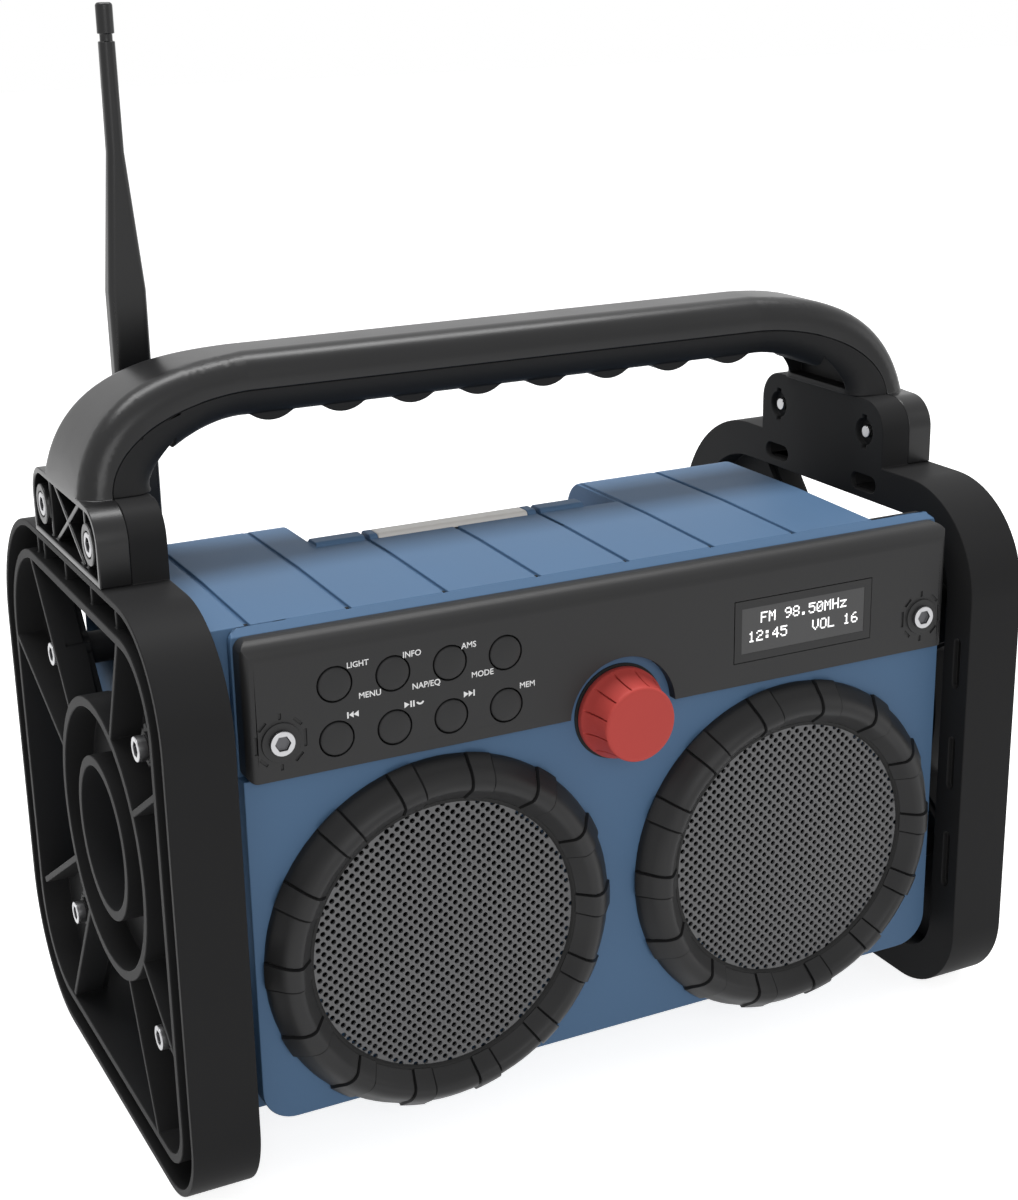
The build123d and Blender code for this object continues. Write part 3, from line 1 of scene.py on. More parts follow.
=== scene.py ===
# %% [markdown]
# # A jobsite radio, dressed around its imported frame
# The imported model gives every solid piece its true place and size. This lesson loads it, sets the
# camera and the light, and then gives each visible piece its moulded edges, its fine detail and its
# own finish. Everything is in metres, with +Z up and the front of the radio facing -Y.

# %% Load the frame
import json
import math
import bmesh
import bpy
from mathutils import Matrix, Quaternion, Vector
from mathutils.bvhtree import BVHTree

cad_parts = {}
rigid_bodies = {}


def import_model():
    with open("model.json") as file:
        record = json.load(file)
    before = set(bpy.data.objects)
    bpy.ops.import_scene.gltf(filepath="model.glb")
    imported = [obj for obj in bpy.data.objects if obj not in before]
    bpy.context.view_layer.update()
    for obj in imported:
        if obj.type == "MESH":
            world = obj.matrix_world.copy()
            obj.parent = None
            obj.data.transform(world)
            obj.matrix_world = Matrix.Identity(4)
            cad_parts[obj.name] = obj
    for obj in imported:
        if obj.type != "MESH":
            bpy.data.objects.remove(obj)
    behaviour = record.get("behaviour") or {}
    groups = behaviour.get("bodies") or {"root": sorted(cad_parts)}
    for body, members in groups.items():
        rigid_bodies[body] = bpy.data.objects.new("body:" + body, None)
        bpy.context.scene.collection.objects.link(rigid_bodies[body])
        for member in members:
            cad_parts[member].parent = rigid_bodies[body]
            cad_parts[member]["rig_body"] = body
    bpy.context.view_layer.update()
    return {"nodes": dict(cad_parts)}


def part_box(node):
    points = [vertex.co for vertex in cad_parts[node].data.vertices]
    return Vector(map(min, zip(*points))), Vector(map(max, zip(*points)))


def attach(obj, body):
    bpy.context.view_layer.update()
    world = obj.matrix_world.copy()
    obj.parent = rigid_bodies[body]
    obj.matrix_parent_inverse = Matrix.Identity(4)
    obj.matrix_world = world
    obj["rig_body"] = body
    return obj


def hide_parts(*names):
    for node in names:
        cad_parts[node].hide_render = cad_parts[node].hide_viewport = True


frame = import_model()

mm = 0.001
fascia_y = -92.0

# %% [markdown]
# ## The camera
# The radio is seen from the front left and from above, close enough for strong perspective. The
# camera is placed by its position, the point it aims at and a very small roll, which a quaternion
# turn about the view axis adds after the camera has been tracked to its target.

# %% Camera
camera_place = Vector((-0.3255, -0.6520, 0.4031))
camera_aim = Vector((-0.06134, -0.12493, 0.21122))
camera_roll = math.radians(-1.036)
camera_lens = 59.58
camera_data = bpy.data.cameras.new("camera")
camera_data.lens = camera_lens
camera_data.sensor_width = 36
camera_data.clip_start = 0.01
camera = bpy.data.objects.new("camera", camera_data)
bpy.context.scene.collection.objects.link(camera)
camera.location = camera_place
facing = (camera_aim - camera_place).to_track_quat("-Z", "Y")
camera.rotation_mode = "QUATERNION"
camera.rotation_quaternion = facing @ Quaternion((0, 0, 1), camera_roll)
bpy.context.scene.camera = camera
print("camera at", tuple(round(value, 3) for value in camera_place))

# %% [markdown]
# ## Light and backdrop
# A product set needs soft light that keeps colours as they are written. Large area lamps give long
# soft highlights on the dark plastic: one overhead, one at the front left and a weak one at the right.
# The backdrop is white only to the camera and to reflections, so it adds no light to the object.


# %% World
def backdrop_rays(nodes, links):
    """Value that is 1 for the rays which see the white backdrop."""
    path = nodes.new("ShaderNodeLightPath")
    both = nodes.new("ShaderNodeMath")
    both.operation = "MAXIMUM"
    links.new(path.outputs["Is Camera Ray"], both.inputs[0])
    links.new(path.outputs["Is Glossy Ray"], both.inputs[1])
    every = nodes.new("ShaderNodeMath")
    every.operation = "MAXIMUM"
    links.new(both.outputs[0], every.inputs[0])
    links.new(path.outputs["Is Transmission Ray"], every.inputs[1])
    return every.outputs[0]


def build_world(light_strength):
    """World that lights softly but looks white to the camera and in reflections."""
    world = bpy.data.worlds.new("studio")
    world.use_nodes = True
    nodes = world.node_tree.nodes
    links = world.node_tree.links
    nodes.clear()
    output = nodes.new("ShaderNodeOutputWorld")
    soft = nodes.new("ShaderNodeBackground")
    soft.inputs["Strength"].default_value = light_strength
    soft.inputs["Color"].default_value = (1, 1, 1, 1)
    white = nodes.new("ShaderNodeBackground")
    white.inputs["Color"].default_value = (1, 1, 1, 1)
    mix = nodes.new("ShaderNodeMixShader")
    links.new(backdrop_rays(nodes, links), mix.inputs["Fac"])
    links.new(soft.outputs[0], mix.inputs[1])
    links.new(white.outputs[0], mix.inputs[2])
    links.new(mix.outputs[0], output.inputs["Surface"])
    return world


world_light = 0.44
bpy.context.scene.world = build_world(world_light)
bpy.context.scene.view_settings.view_transform = "Standard"
print("world light", world_light)


# %% Lamps
def area_lamp(name, place, aim, size, power):
    """Rectangular soft lamp that points at a place on the object."""
    data = bpy.data.lights.new(name, "AREA")
    data.shape = "RECTANGLE"
    data.size = size[0]
    data.size_y = size[1]
    data.energy = power
    lamp = bpy.data.objects.new(name, data)
    bpy.context.scene.collection.objects.link(lamp)
    lamp.location = place
    lamp.rotation_euler = (Vector(aim) - Vector(place)).to_track_quat("-Z", "Y").to_euler()


lamps = {
    "lamp_overhead": ((0.0, 0.2, 1.5), (0, 0, 0.15), (1.5, 0.4), 19),
    "lamp_front_left": ((-0.35, -1.5, 0.75), (0, 0, 0.12), (0.9, 0.7), 6),
    "lamp_right": ((1.3, -0.6, 0.6), (0, 0, 0.12), (0.7, 0.9), 1.6),
}
for name, (place, aim, size, power) in lamps.items():
    area_lamp(name, place, aim, size, power)
print(len(lamps), "lamps")


# %% Floor
def build_floor(size, colour, glow):
    """Flat pale floor that is white to the camera and keeps the object's soft shadow."""
    mesh = bpy.data.meshes.new("floor")
    corners = [(-size, -size, 0), (size, -size, 0), (size, size, 0), (-size, size, 0)]
    mesh.from_pydata(corners, [], [(0, 1, 2, 3)])
    floor = bpy.data.objects.new("floor", mesh)
    bpy.context.scene.collection.objects.link(floor)
    material = bpy.data.materials.new("floor_white")
    material.use_nodes = True
    nodes = material.node_tree.nodes
    links = material.node_tree.links
    shader = nodes["Principled BSDF"]
    shader.inputs["Base Color"].default_value = (*colour, 1)
    shader.inputs["Roughness"].default_value = 0.9
    shader.inputs["Emission Color"].default_value = (1, 1, 1, 1)
    scale = nodes.new("ShaderNodeMath")
    scale.operation = "MULTIPLY"
    scale.inputs[1].default_value = glow
    links.new(backdrop_rays(nodes, links), scale.inputs[0])
    links.new(scale.outputs[0], shader.inputs["Emission Strength"])
    mesh.materials.append(material)
    return floor


floor_reach = 6.0
floor_colour = (0.75, 0.75, 0.75)
floor_glow = 0.8
floor = build_floor(floor_reach, floor_colour, floor_glow)
print("floor:", 2 * floor_reach, "metres square")


# %% [markdown]
# ## Finishes
# Moulded plastic is never one flat colour: a fine spark-eroded grain breaks up its highlights, its
# roughness drifts a little from place to place, and so does its colour. One function with noise
# textures gives each of these, at sizes given in millimetres. Dark matt plastic reflects less than a
# polished surface, so its specular level stays under the usual value.


# %% Start of every finish
def start_material(name, colour, roughness, specular=0.5):
    """Material with a plain Principled shader, and the tools to add nodes to it."""
    material = bpy.data.materials.new(name)
    material.use_nodes = True
    nodes = material.node_tree.nodes
    links = material.node_tree.links
    shader = nodes["Principled BSDF"]
    shader.inputs["Base Color"].default_value = (*colour, 1)
    shader.inputs["Roughness"].default_value = roughness
    shader.inputs["Specular IOR Level"].default_value = specular
    return material, nodes, links, shader


def object_noise(nodes, links, size, detail=2.0):
    """Noise texture whose bumps are about this many metres across."""
    place = nodes.new("ShaderNodeTexCoord")
    noise = nodes.new("ShaderNodeTexNoise")
    noise.inputs["Scale"].default_value = 1 / size
    noise.inputs["Detail"].default_value = detail
    links.new(place.outputs["Object"], noise.inputs["Vector"])
    return noise


print("helpers for materials are ready")


# %% Moulded plastic
bump_strength = 0.5
drift_size = 35.0
drift_detail = 3.0
tint_spread = 0.06


def moulded_plastic(name, colour, roughness, specular=0.5, grain=0.35, depth=0.02, drift=0.05):
    """Plastic with a fine grain, a slow drift of roughness and a faint drift of colour."""
    material, nodes, links, shader = start_material(name, colour, roughness, specular)
    fine = object_noise(nodes, links, grain * mm)
    bump = nodes.new("ShaderNodeBump")
    bump.inputs["Strength"].default_value = bump_strength
    bump.inputs["Distance"].default_value = depth * mm
    links.new(fine.outputs["Fac"], bump.inputs["Height"])
    links.new(bump.outputs["Normal"], shader.inputs["Normal"])
    slow = object_noise(nodes, links, drift_size * mm, drift_detail)
    rough = nodes.new("ShaderNodeMapRange")
    rough.inputs["To Min"].default_value = roughness - drift
    rough.inputs["To Max"].default_value = roughness + drift
    links.new(slow.outputs["Fac"], rough.inputs["Value"])
    links.new(rough.outputs["Result"], shader.inputs["Roughness"])
    tint = nodes.new("ShaderNodeMix")
    tint.data_type = "RGBA"
    for socket, share in (("A", 1 - tint_spread), ("B", 1 + tint_spread)):
        tint.inputs[socket].default_value = (*[min(1, channel * share) for channel in colour], 1)
    links.new(slow.outputs["Fac"], tint.inputs["Factor"])
    links.new(tint.outputs["Result"], shader.inputs["Base Color"])
    return material


print("plastic: colour drifts by", tint_spread, "over about", drift_size, "mm")


# %% Bare metal
streak_size = 0.8
streak_detail = 4.0


def metal(name, colour, roughness):
    """Bare metal with a roughness that varies over fine spots."""
    material, nodes, links, shader = start_material(name, colour, roughness)
    shader.inputs["Metallic"].default_value = 1.0
    fine = object_noise(nodes, links, streak_size * mm, streak_detail)
    rough = nodes.new("ShaderNodeMapRange")
    rough.inputs["To Min"].default_value = roughness * 0.8
    rough.inputs["To Max"].default_value = roughness * 1.25
    links.new(fine.outputs["Fac"], rough.inputs["Value"])
    links.new(rough.outputs["Result"], shader.inputs["Roughness"])
    return material


print("metal: roughness spots of about", streak_size, "mm")

# %% The radio's finishes
blue_plastic = moulded_plastic("blue_plastic", (0.070, 0.138, 0.243), 0.54, 0.25)
black_plastic = moulded_plastic("black_plastic", (0.019, 0.019, 0.0195), 0.52, 0.05)
handle_plastic = moulded_plastic("handle_plastic", (0.0085, 0.0085, 0.009), 0.3, 0.34)
grip_rubber = moulded_plastic("grip_rubber", (0.011, 0.011, 0.0115), 0.6, 0.18)
bezel_plastic = moulded_plastic("bezel_plastic", (0.016, 0.016, 0.0165), 0.44, 0.25)
fascia_plastic = moulded_plastic("fascia_plastic", (0.019, 0.019, 0.0195), 0.42, 0.25)
button_rubber = moulded_plastic("button_rubber", (0.018, 0.018, 0.0185), 0.5, 0.25)
# Dark rubber for the seals and the flap. The same colour paints the shade rings around the knob and
# the speaker meshes.
seal_rubber = moulded_plastic("seal_rubber", (0.010, 0.010, 0.010), 0.7, 0.25)
aerial_plastic = moulded_plastic("aerial_plastic", (0.008, 0.008, 0.0085), 0.3, 0.35)
knob_red = moulded_plastic("knob_red", (0.47, 0.062, 0.053), 0.5, 0.15)
lens_white = moulded_plastic("lens_white", (0.66, 0.64, 0.61), 0.3)
board_green = moulded_plastic("board_green", (0.02, 0.09, 0.04), 0.4)
cone_black = moulded_plastic("cone_black", (0.004, 0.004, 0.004), 0.8, 0.1)
dust_cloth = moulded_plastic("dust_cloth", (0.003, 0.003, 0.003), 0.95, 0.0, 0.5, 0.08, 0.04)
screw_steel = metal("screw_steel", (0.4, 0.4, 0.41), 0.32)
# Darker steel for the faces inside the hexagon sockets: painted shade in the hollows.
socket_painted_shade = metal("socket_painted_shade", (0.085, 0.085, 0.09), 0.4)
grille_paint = moulded_plastic("grille_paint", (0.125, 0.125, 0.128), 0.5, 0.3)
display_face = moulded_plastic("display_face", (0.068, 0.068, 0.069), 0.35, 0.25)
cell_wrap = moulded_plastic("cell_wrap", (0.05, 0.05, 0.055), 0.35)
print(len(bpy.data.materials), "materials")

# %% [markdown]
# ## Soft edges for rigid mouldings
# A moulded edge always has a small radius, and that radius is what catches the light. The packed
# solids have sharp edges, so each rigid moulding gets a new mesh: a copy of the solid's faces, whose
# sharp edges a Bevel modifier rounds. The result is kept as a plain mesh, so that its points can be
# checked against the solid. A Weighted Normal modifier then keeps the large flat faces flat in the
# light, and leaves the turn of the surface to the rounded edges.


# %% A piece that stands for CAD nodes
def add_piece(name, mesh, body, *nodes):
    """Object for a finished mesh, which rides on a body and stands for the named CAD nodes."""
    piece = bpy.data.objects.new(name, mesh)
    bpy.context.scene.collection.objects.link(piece)
    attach(piece, body)
    if nodes:
        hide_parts(*nodes)
    return piece


# %% Rounded edges
edge_segments = 2
sharp_angle = 28.0


def rounded_mesh(plain, surface, radius):
    """Mesh with its sharp edges rounded.

    A rounded edge stays within its radius of the solid and inside the solid's box. Where edges run
    almost parallel the Bevel modifier can throw a point far out, and such a point is put back.
    """
    low = Vector([min(vert.co[axis] for vert in plain.vertices) for axis in range(3)])
    high = Vector([max(vert.co[axis] for vert in plain.vertices) for axis in range(3)])
    holder = bpy.data.objects.new("edge_holder", plain)
    bpy.context.scene.collection.objects.link(holder)
    bevel = holder.modifiers.new("edge_radius", "BEVEL")
    bevel.width = radius
    bevel.segments = edge_segments
    bevel.limit_method = "ANGLE"
    bevel.angle_limit = math.radians(sharp_angle)
    bevel.use_clamp_overlap = False
    bpy.context.view_layer.update()
    evaluated = holder.evaluated_get(bpy.context.evaluated_depsgraph_get())
    mesh = bpy.data.meshes.new_from_object(evaluated)
    strays = 0
    for vert in mesh.vertices:
        nearest, _, _, distance = surface.find_nearest(vert.co)
        if distance > radius:
            vert.co = nearest
            strays += 1
        vert.co = [min(max(vert.co[axis], low[axis]), high[axis]) for axis in range(3)]
    bpy.data.objects.remove(holder)
    bpy.data.meshes.remove(plain)
    return mesh, strays


print("edges sharper than", sharp_angle, "degrees are rounded in", edge_segments, "steps")


# %% Softened copies of the solids
weld_gap = 0.002
flat_angle = 0.6


def softened(node, material, radius, join=True, adjust=None, recess=None):
    """Piece with the shape of a CAD node and rounded edges; gives the number of stray points.

    join makes one face of each flat area, adjust moves a point of the mesh, and recess is a test with
    the finish of the faces that pass it.
    """
    source = frame["nodes"][node]
    shape = bmesh.new()
    shape.from_mesh(source.data)
    bmesh.ops.remove_doubles(shape, verts=shape.verts, dist=weld_gap * mm)
    if join:
        bmesh.ops.dissolve_limit(
            shape,
            angle_limit=math.radians(flat_angle),
            verts=shape.verts,
            edges=shape.edges,
            delimit=set(),
        )
    if adjust:
        for vert in shape.verts:
            vert.co = adjust(vert.co)
    for face in shape.faces:
        face.smooth = True
        if recess and recess[0](face):
            face.material_index = 1
    surface = BVHTree.FromBMesh(shape)
    plain = bpy.data.meshes.new(f"{node}_plain")
    shape.to_mesh(plain)
    shape.free()
    plain.materials.append(material)
    if recess:
        plain.materials.append(recess[1])
    mesh, strays = rounded_mesh(plain, surface, radius)
    mesh.name = f"{node}_moulding"
    piece = add_piece(f"{node}_moulding", mesh, source["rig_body"], node)
    flat = piece.modifiers.new("flat_faces", "WEIGHTED_NORMAL")
    flat.mode = "FACE_AREA"
    flat.weight = 50
    return strays


print("points closer than", weld_gap, "mm are joined")

# %% [markdown]
# ## The seam on the deck
# The two halves of the housing meet in a seam across the deck, close behind the fascia. Only a narrow
# strip of the front half shows there. The points of both halves that lie on the upper part of the
# seam move forward together, so the strip gets narrower and the seam stays shut.

# %% Narrow strip
shell_split = 15.0
split_shift = 3.0
split_reach = 0.9
strip_zone = 6.0
shell_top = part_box("front_shell")[1][2] / mm


def narrow_strip(place):
    """Move the upper seam of the housing forward, which leaves a narrow strip above the fascia."""
    depth = place.y / mm - fascia_y
    if abs(depth - shell_split) < split_reach and place.z / mm > shell_top - strip_zone:
        return Vector((place.x, place.y - split_shift * mm, place.z))
    return place


print("seam moved forward by", split_shift, "mm")

# %% [markdown]
# ## Screw sockets
# A socket-head screw has a bright head. The faces inside its hexagon socket get a darker steel,
# which is painted shade for the hollow. The screws of one kind are one node, so the middle of each
# separate solid in it gives a screw's axis. A face belongs to a socket where it is sunk below the end
# of the head and close to such an axis.


# %% Axes of the screws
def island_middles(source):
    """Middle of the box around each separate solid in a node's mesh."""
    shape = bmesh.new()
    shape.from_mesh(source.data)
    bmesh.ops.remove_doubles(shape, verts=shape.verts, dist=weld_gap * mm)
    waiting = set(shape.verts)
    middles = []
    while waiting:
        front = [waiting.pop()]
        places = []
        while front:
            vert = front.pop()
            places.append(vert.co.copy())
            for edge in vert.link_edges:
                other = edge.other_vert(vert)
                if other in waiting:
                    waiting.remove(other)
                    front.append(other)
        low = [min(place[axis] for place in places) for axis in range(3)]
        high = [max(place[axis] for place in places) for axis in range(3)]
        middles.append([(a + b) / 2 for a, b in zip(low, high)])
    shape.free()
    return middles


for node in ("frame_screws", "handle_screws", "fascia_screws"):
    print(node, "has", len(island_middles(frame["nodes"][node])), "solids")


# %% Faces inside the sockets
socket_radius = 2.9
socket_rim = 0.15
long_socket = 2.1
short_socket = 1.1


def socket_faces(node, outward, across, depth):
    """Test that is true for the faces inside the hexagon sockets of a node's screw heads."""
    source = frame["nodes"][node]
    axes = [[middle[axis] for axis in across] for middle in island_middles(source)]
    head_end = max(outward(vert.co) for vert in source.data.vertices)

    def inside(face):
        """True where a face is sunk below the end of the head and close to the screw's axis."""
        middle = face.calc_center_median()
        sunk = (head_end - outward(middle)) / mm
        place = [middle[axis] for axis in across]
        near = min(math.dist(place, axis) for axis in axes) < socket_radius * mm
        return socket_rim < sunk < depth and near

    return inside


def sideways(place):
    """How far out to its own side a place lies."""
    return abs(place[0])


def forwards(place):
    """How far to the front a place lies."""
    return -place[1]


# The faces inside the sockets get the darker steel, which paints the shade in the hexagon holes.
recesses = {
    "frame_screws": (socket_faces("frame_screws", sideways, (1, 2), long_socket), socket_painted_shade),
    "handle_screws": (socket_faces("handle_screws", sideways, (1, 2), long_socket), socket_painted_shade),
    "fascia_screws": (socket_faces("fascia_screws", forwards, (0, 2), short_socket), socket_painted_shade),
}
print(len(recesses), "kinds of screw with a socket")

# %% [markdown]
# ## Which moulding gets which edge
# Large mouldings have the larger radii. The fascia and the battery cover have many small openings
# close together, where joined faces and large radii would overlap, so both keep their small faces
# and have a small radius.

# %% Soften the mouldings
edge_radii = {
    "left_frame": (black_plastic, 0.45),
    "right_frame": (black_plastic, 0.45),
    "handle_upper": (handle_plastic, 0.5),
    "handle_lower": (grip_rubber, 0.5),
    "front_shell": (blue_plastic, 0.4),
    "rear_shell": (blue_plastic, 0.4),
    "control_fascia": (fascia_plastic, 0.2),
    "light_lens": (lens_white, 0.4),
    "aerial_mount": (black_plastic, 0.4),
    "aerial": (aerial_plastic, 0.3),
    "battery_cover": (black_plastic, 0.1),
    "socket_flap": (seal_rubber, 0.3),
    "frame_screws": (screw_steel, 0.3),
    "frame_washers": (black_plastic, 0.15),
    "handle_screws": (screw_steel, 0.3),
    "fascia_screws": (screw_steel, 0.3),
}
plain_joins = ("control_fascia", "battery_cover")
adjustments = {"front_shell": narrow_strip, "rear_shell": narrow_strip}
for node, (material, radius) in edge_radii.items():
    strays = softened(
        node,
        material,
        radius * mm,
        join=node not in plain_joins,
        adjust=adjustments.get(node),
        recess=recesses.get(node),
    )
    if strays:
        print(node, "had", strays, "stray points put back")
print(len(edge_radii), "softened mouldings")


# %% [markdown]
# ## Turned pieces
# The speaker bezels, the volume knob and the buttons are all round about an axis that runs from the
# front to the rear. A modeller would spin a profile for each of them. Here one function places the
# rings of a profile at chosen angles, and lets a second function move each point in or out, which
# gives the raised bands of the bezels and the thin grooves of the knob in the same mesh.


# %% Where a node's middle is
def neat(value):
    """A length in metres as millimetres, to the nearest twentieth."""
    return round(value / mm * 20) / 20


def front_middle(node):
    """Middle of a CAD node seen from the front: x and z in millimetres."""
    low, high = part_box(node)
    return tuple(neat((low[axis] + high[axis]) / 2) for axis in (0, 2))


def front_size(node):
    """Width and height of a CAD node seen from the front, in millimetres."""
    low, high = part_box(node)
    return tuple(neat(high[axis] - low[axis]) for axis in (0, 2))


speaker_middles = {side: front_middle(f"{side}_speaker_grille") for side in ("left", "right")}
print("loudspeakers at", speaker_middles)


# %% Spin a profile
def spun(name, centre, profile, angles, material, move=None, crease=35.0):
    """Closed round mesh: profile points are (radius, depth behind the fascia) in millimetres."""
    shape = bmesh.new()
    rings = []
    for angle in angles:
        turn = math.radians(angle)
        ring = []
        for index, (radius, depth) in enumerate(profile):
            if move:
                radius, depth = move(index, angle, radius, depth)
            x = centre[0] + radius * math.cos(turn)
            z = centre[1] + radius * math.sin(turn)
            ring.append(shape.verts.new((x * mm, (fascia_y + depth) * mm, z * mm)))
        rings.append(ring)
    for step, ring in enumerate(rings):
        following = rings[(step + 1) % len(rings)]
        for index in range(len(profile) - 1):
            corners = (ring[index], ring[index + 1], following[index + 1], following[index])
            shape.faces.new(corners).smooth = True
    bmesh.ops.remove_doubles(shape, verts=shape.verts, dist=0.001 * mm)
    bmesh.ops.recalc_face_normals(shape, faces=shape.faces)
    mesh = bpy.data.meshes.new(name)
    shape.to_mesh(mesh)
    shape.free()
    mesh.set_sharp_from_angle(angle=math.radians(crease))
    mesh.materials.append(material)
    return mesh


def repeated_angles(count, offsets):
    """Angles in degrees that repeat the same offsets around a full turn."""
    return [360 * step / count + offset for step in range(count) for offset in offsets]


def plain_angles(count):
    """Evenly spaced angles around a full turn."""
    return [360 * step / count for step in range(count)]


print("twelve steps of a turn:", plain_angles(12))

# %% [markdown]
# ## Speaker bezels
# Each loudspeaker sits in a fat rubbery ring with fourteen narrow raised blocks, and each block is
# set off by a thin line on either side. The ring's profile is a steep outer flank, a rounded crest
# and a slope that runs down to the mesh. Angles crowd together where the thin lines are cut.

# %% Bezels
band_count = 14
band_half = 3.9
line_width = 0.8
band_lift = 0.8
line_cut = 0.7
bezel_profile = [
    (65.1, 4.0), (65.0, 2.6), (64.3, 1.2), (62.9, -0.5), (61.7, -2.2), (60.5, -3.8), (59.2, -5.0),
    (57.8, -5.8), (56.6, -6.0), (55.5, -5.8), (54.7, -5.2), (53.9, -4.3), (53.1, -3.4), (52.3, -2.5),
    (51.5, -1.6), (50.8, -0.8), (50.4, -0.4), (50.3, 0.0), (50.3, 0.3), (51.5, 0.3), (51.5, 4.0),
    (65.1, 4.0),
]
lifted_points = range(1, 17)
crest_radius = 56.6
flank_reach = 8.4
inner_share = 0.4
outer_share = 0.6
half_period = 180 / band_count
line_start = band_half + line_width
band_offsets = [
    -half_period, -9.6, -line_start - 0.3, -line_start, -band_half - 0.12, -band_half + 0.1,
    -2.6, -1.3, 0.0, 1.3, 2.6,
    band_half - 0.1, band_half + 0.12, line_start, line_start + 0.3, 9.6,
]


def band_shape(index, angle, radius, depth):
    """Lift a profile point on the blocks, and cut the thin lines beside them."""
    if index not in lifted_points:
        return radius, depth
    offset = abs((angle + half_period) % (2 * half_period) - half_period)
    if offset < band_half:
        lift = band_lift
    elif offset < line_start - 0.01:
        lift = -line_cut
    else:
        lift = 0.0
    run = (radius - crest_radius) / flank_reach
    outward = lift * max(run, -inner_share)
    return radius + outward, depth - lift * (1 - abs(run) * outer_share)


for speaker, centre in speaker_middles.items():
    angles = repeated_angles(band_count, band_offsets)
    mesh = spun(f"{speaker}_bezel_ring", centre, bezel_profile, angles, bezel_plastic, band_shape)
    add_piece(f"{speaker}_bezel_ring", mesh, "radio", f"{speaker}_speaker_bezel")
print("two bezels with", band_count, "blocks each")

# %% [markdown]
# ## Speaker mesh
# The grilles are painted steel sheet with round holes on a diagonal grid. Each grid cell is eight
# quads between a square and an octagonal hole, and cells share their border points, so the sheet is
# one clean mesh. A Solidify modifier gives the sheet its thickness, and a black dust cloth behind it
# makes the holes read as black.

# %% Perforated sheet
hole_pitch = 2.66
hole_radius = 1.0
sheet_radius = 50.9
sheet_thickness = 0.9
grille_depth = 0.35
rim_margin = 0.3
corner_share = 1.5
grid_corners = [(1, 0), (1, 1), (0, 1), (-1, 1), (-1, 0), (-1, -1), (0, -1), (1, -1)]


def perforated_sheet(name, centre):
    """Round sheet with holes on a grid that is turned by 45 degrees."""
    shape = bmesh.new()
    known = {}

    def point(u, v):
        """Shared vertex at grid coordinates, kept inside the sheet's edge."""
        reach = math.hypot(u, v)
        if reach > sheet_radius:
            u, v = u * sheet_radius / reach, v * sheet_radius / reach
        key = (round(u, 3), round(v, 3))
        if key not in known:
            x = centre[0] + (u - v) * math.sqrt(0.5)
            z = centre[1] + (u + v) * math.sqrt(0.5)
            known[key] = shape.verts.new((x * mm, (fascia_y + grille_depth) * mm, z * mm))
        return known[key]

    half = hole_pitch / 2
    reach = int(sheet_radius / hole_pitch) + 1
    for row in range(-reach, reach + 1):
        for column in range(-reach, reach + 1):
            middle = (row * hole_pitch, column * hole_pitch)
            distance = math.hypot(*middle)
            if distance > sheet_radius - rim_margin:
                continue
            outer = [point(middle[0] + half * a, middle[1] + half * b) for a, b in grid_corners]
            if distance + half * corner_share > sheet_radius:
                distinct = list(dict.fromkeys(outer))
                if len(distinct) > 2:
                    shape.faces.new(distinct)
                continue
            turns = [math.radians(45 * step) for step in range(8)]
            rim = [(hole_radius * math.cos(turn), hole_radius * math.sin(turn)) for turn in turns]
            inner = [point(middle[0] + u, middle[1] + v) for u, v in rim]
            for step in range(8):
                following = (step + 1) % 8
                shape.faces.new((outer[step], outer[following], inner[following], inner[step]))
    bmesh.ops.recalc_face_normals(shape, faces=shape.faces)
    mesh = bpy.data.meshes.new(name)
    shape.to_mesh(mesh)
    shape.free()
    mesh.materials.append(grille_paint)
    return mesh


open_share = 2 * math.sqrt(2) * (hole_radius / hole_pitch) ** 2
print("open share of the sheet:", round(open_share, 2))

# %% Discs, gaskets with painted shade, and dust cloths
# The black ring at the mesh's edge is partly a real foam gasket and partly painted shade for the
# bezel's shaded inner wall.
gasket_shade_profile = [(49.0, 0.1), (49.6, -0.5), (50.5, -0.6), (50.5, 0.3), (49.0, 0.3), (49.0, 0.1)]
cloth_profile = [(0.0, 1.5), (25.0, 1.5), (48.0, 1.5), (48.0, 1.9), (0.0, 1.9)]
for speaker, centre in speaker_middles.items():
    mesh = perforated_sheet(f"{speaker}_mesh_disc", centre)
    disc = add_piece(f"{speaker}_mesh_disc", mesh, "radio", f"{speaker}_speaker_grille")
    sheet = disc.modifiers.new("sheet", "SOLIDIFY")
    sheet.thickness = sheet_thickness * mm
    sheet.offset = -1 if mesh.polygons[0].normal.y < 0 else 1
    gasket_shade = spun(f"{speaker}_mesh_gasket_shade", centre, gasket_shade_profile, plain_angles(120), seal_rubber)
    add_piece(f"{speaker}_mesh_gasket_shade", gasket_shade, "radio")
    cloth = spun(f"{speaker}_dust_cloth", centre, cloth_profile, plain_angles(72), dust_cloth)
    add_piece(f"{speaker}_dust_cloth", cloth, "radio")
    print(speaker, "mesh disc:", len(mesh.polygons), "faces")

# %% [markdown]
# ## Volume knob
# The knob flares gently towards its base and has twelve thin grooves, so that a gloved hand can turn
# it. The side is slightly hollow, which is why the grooves look curved. The grooves fade out before
# the face and before the base, where a plain rim is left.

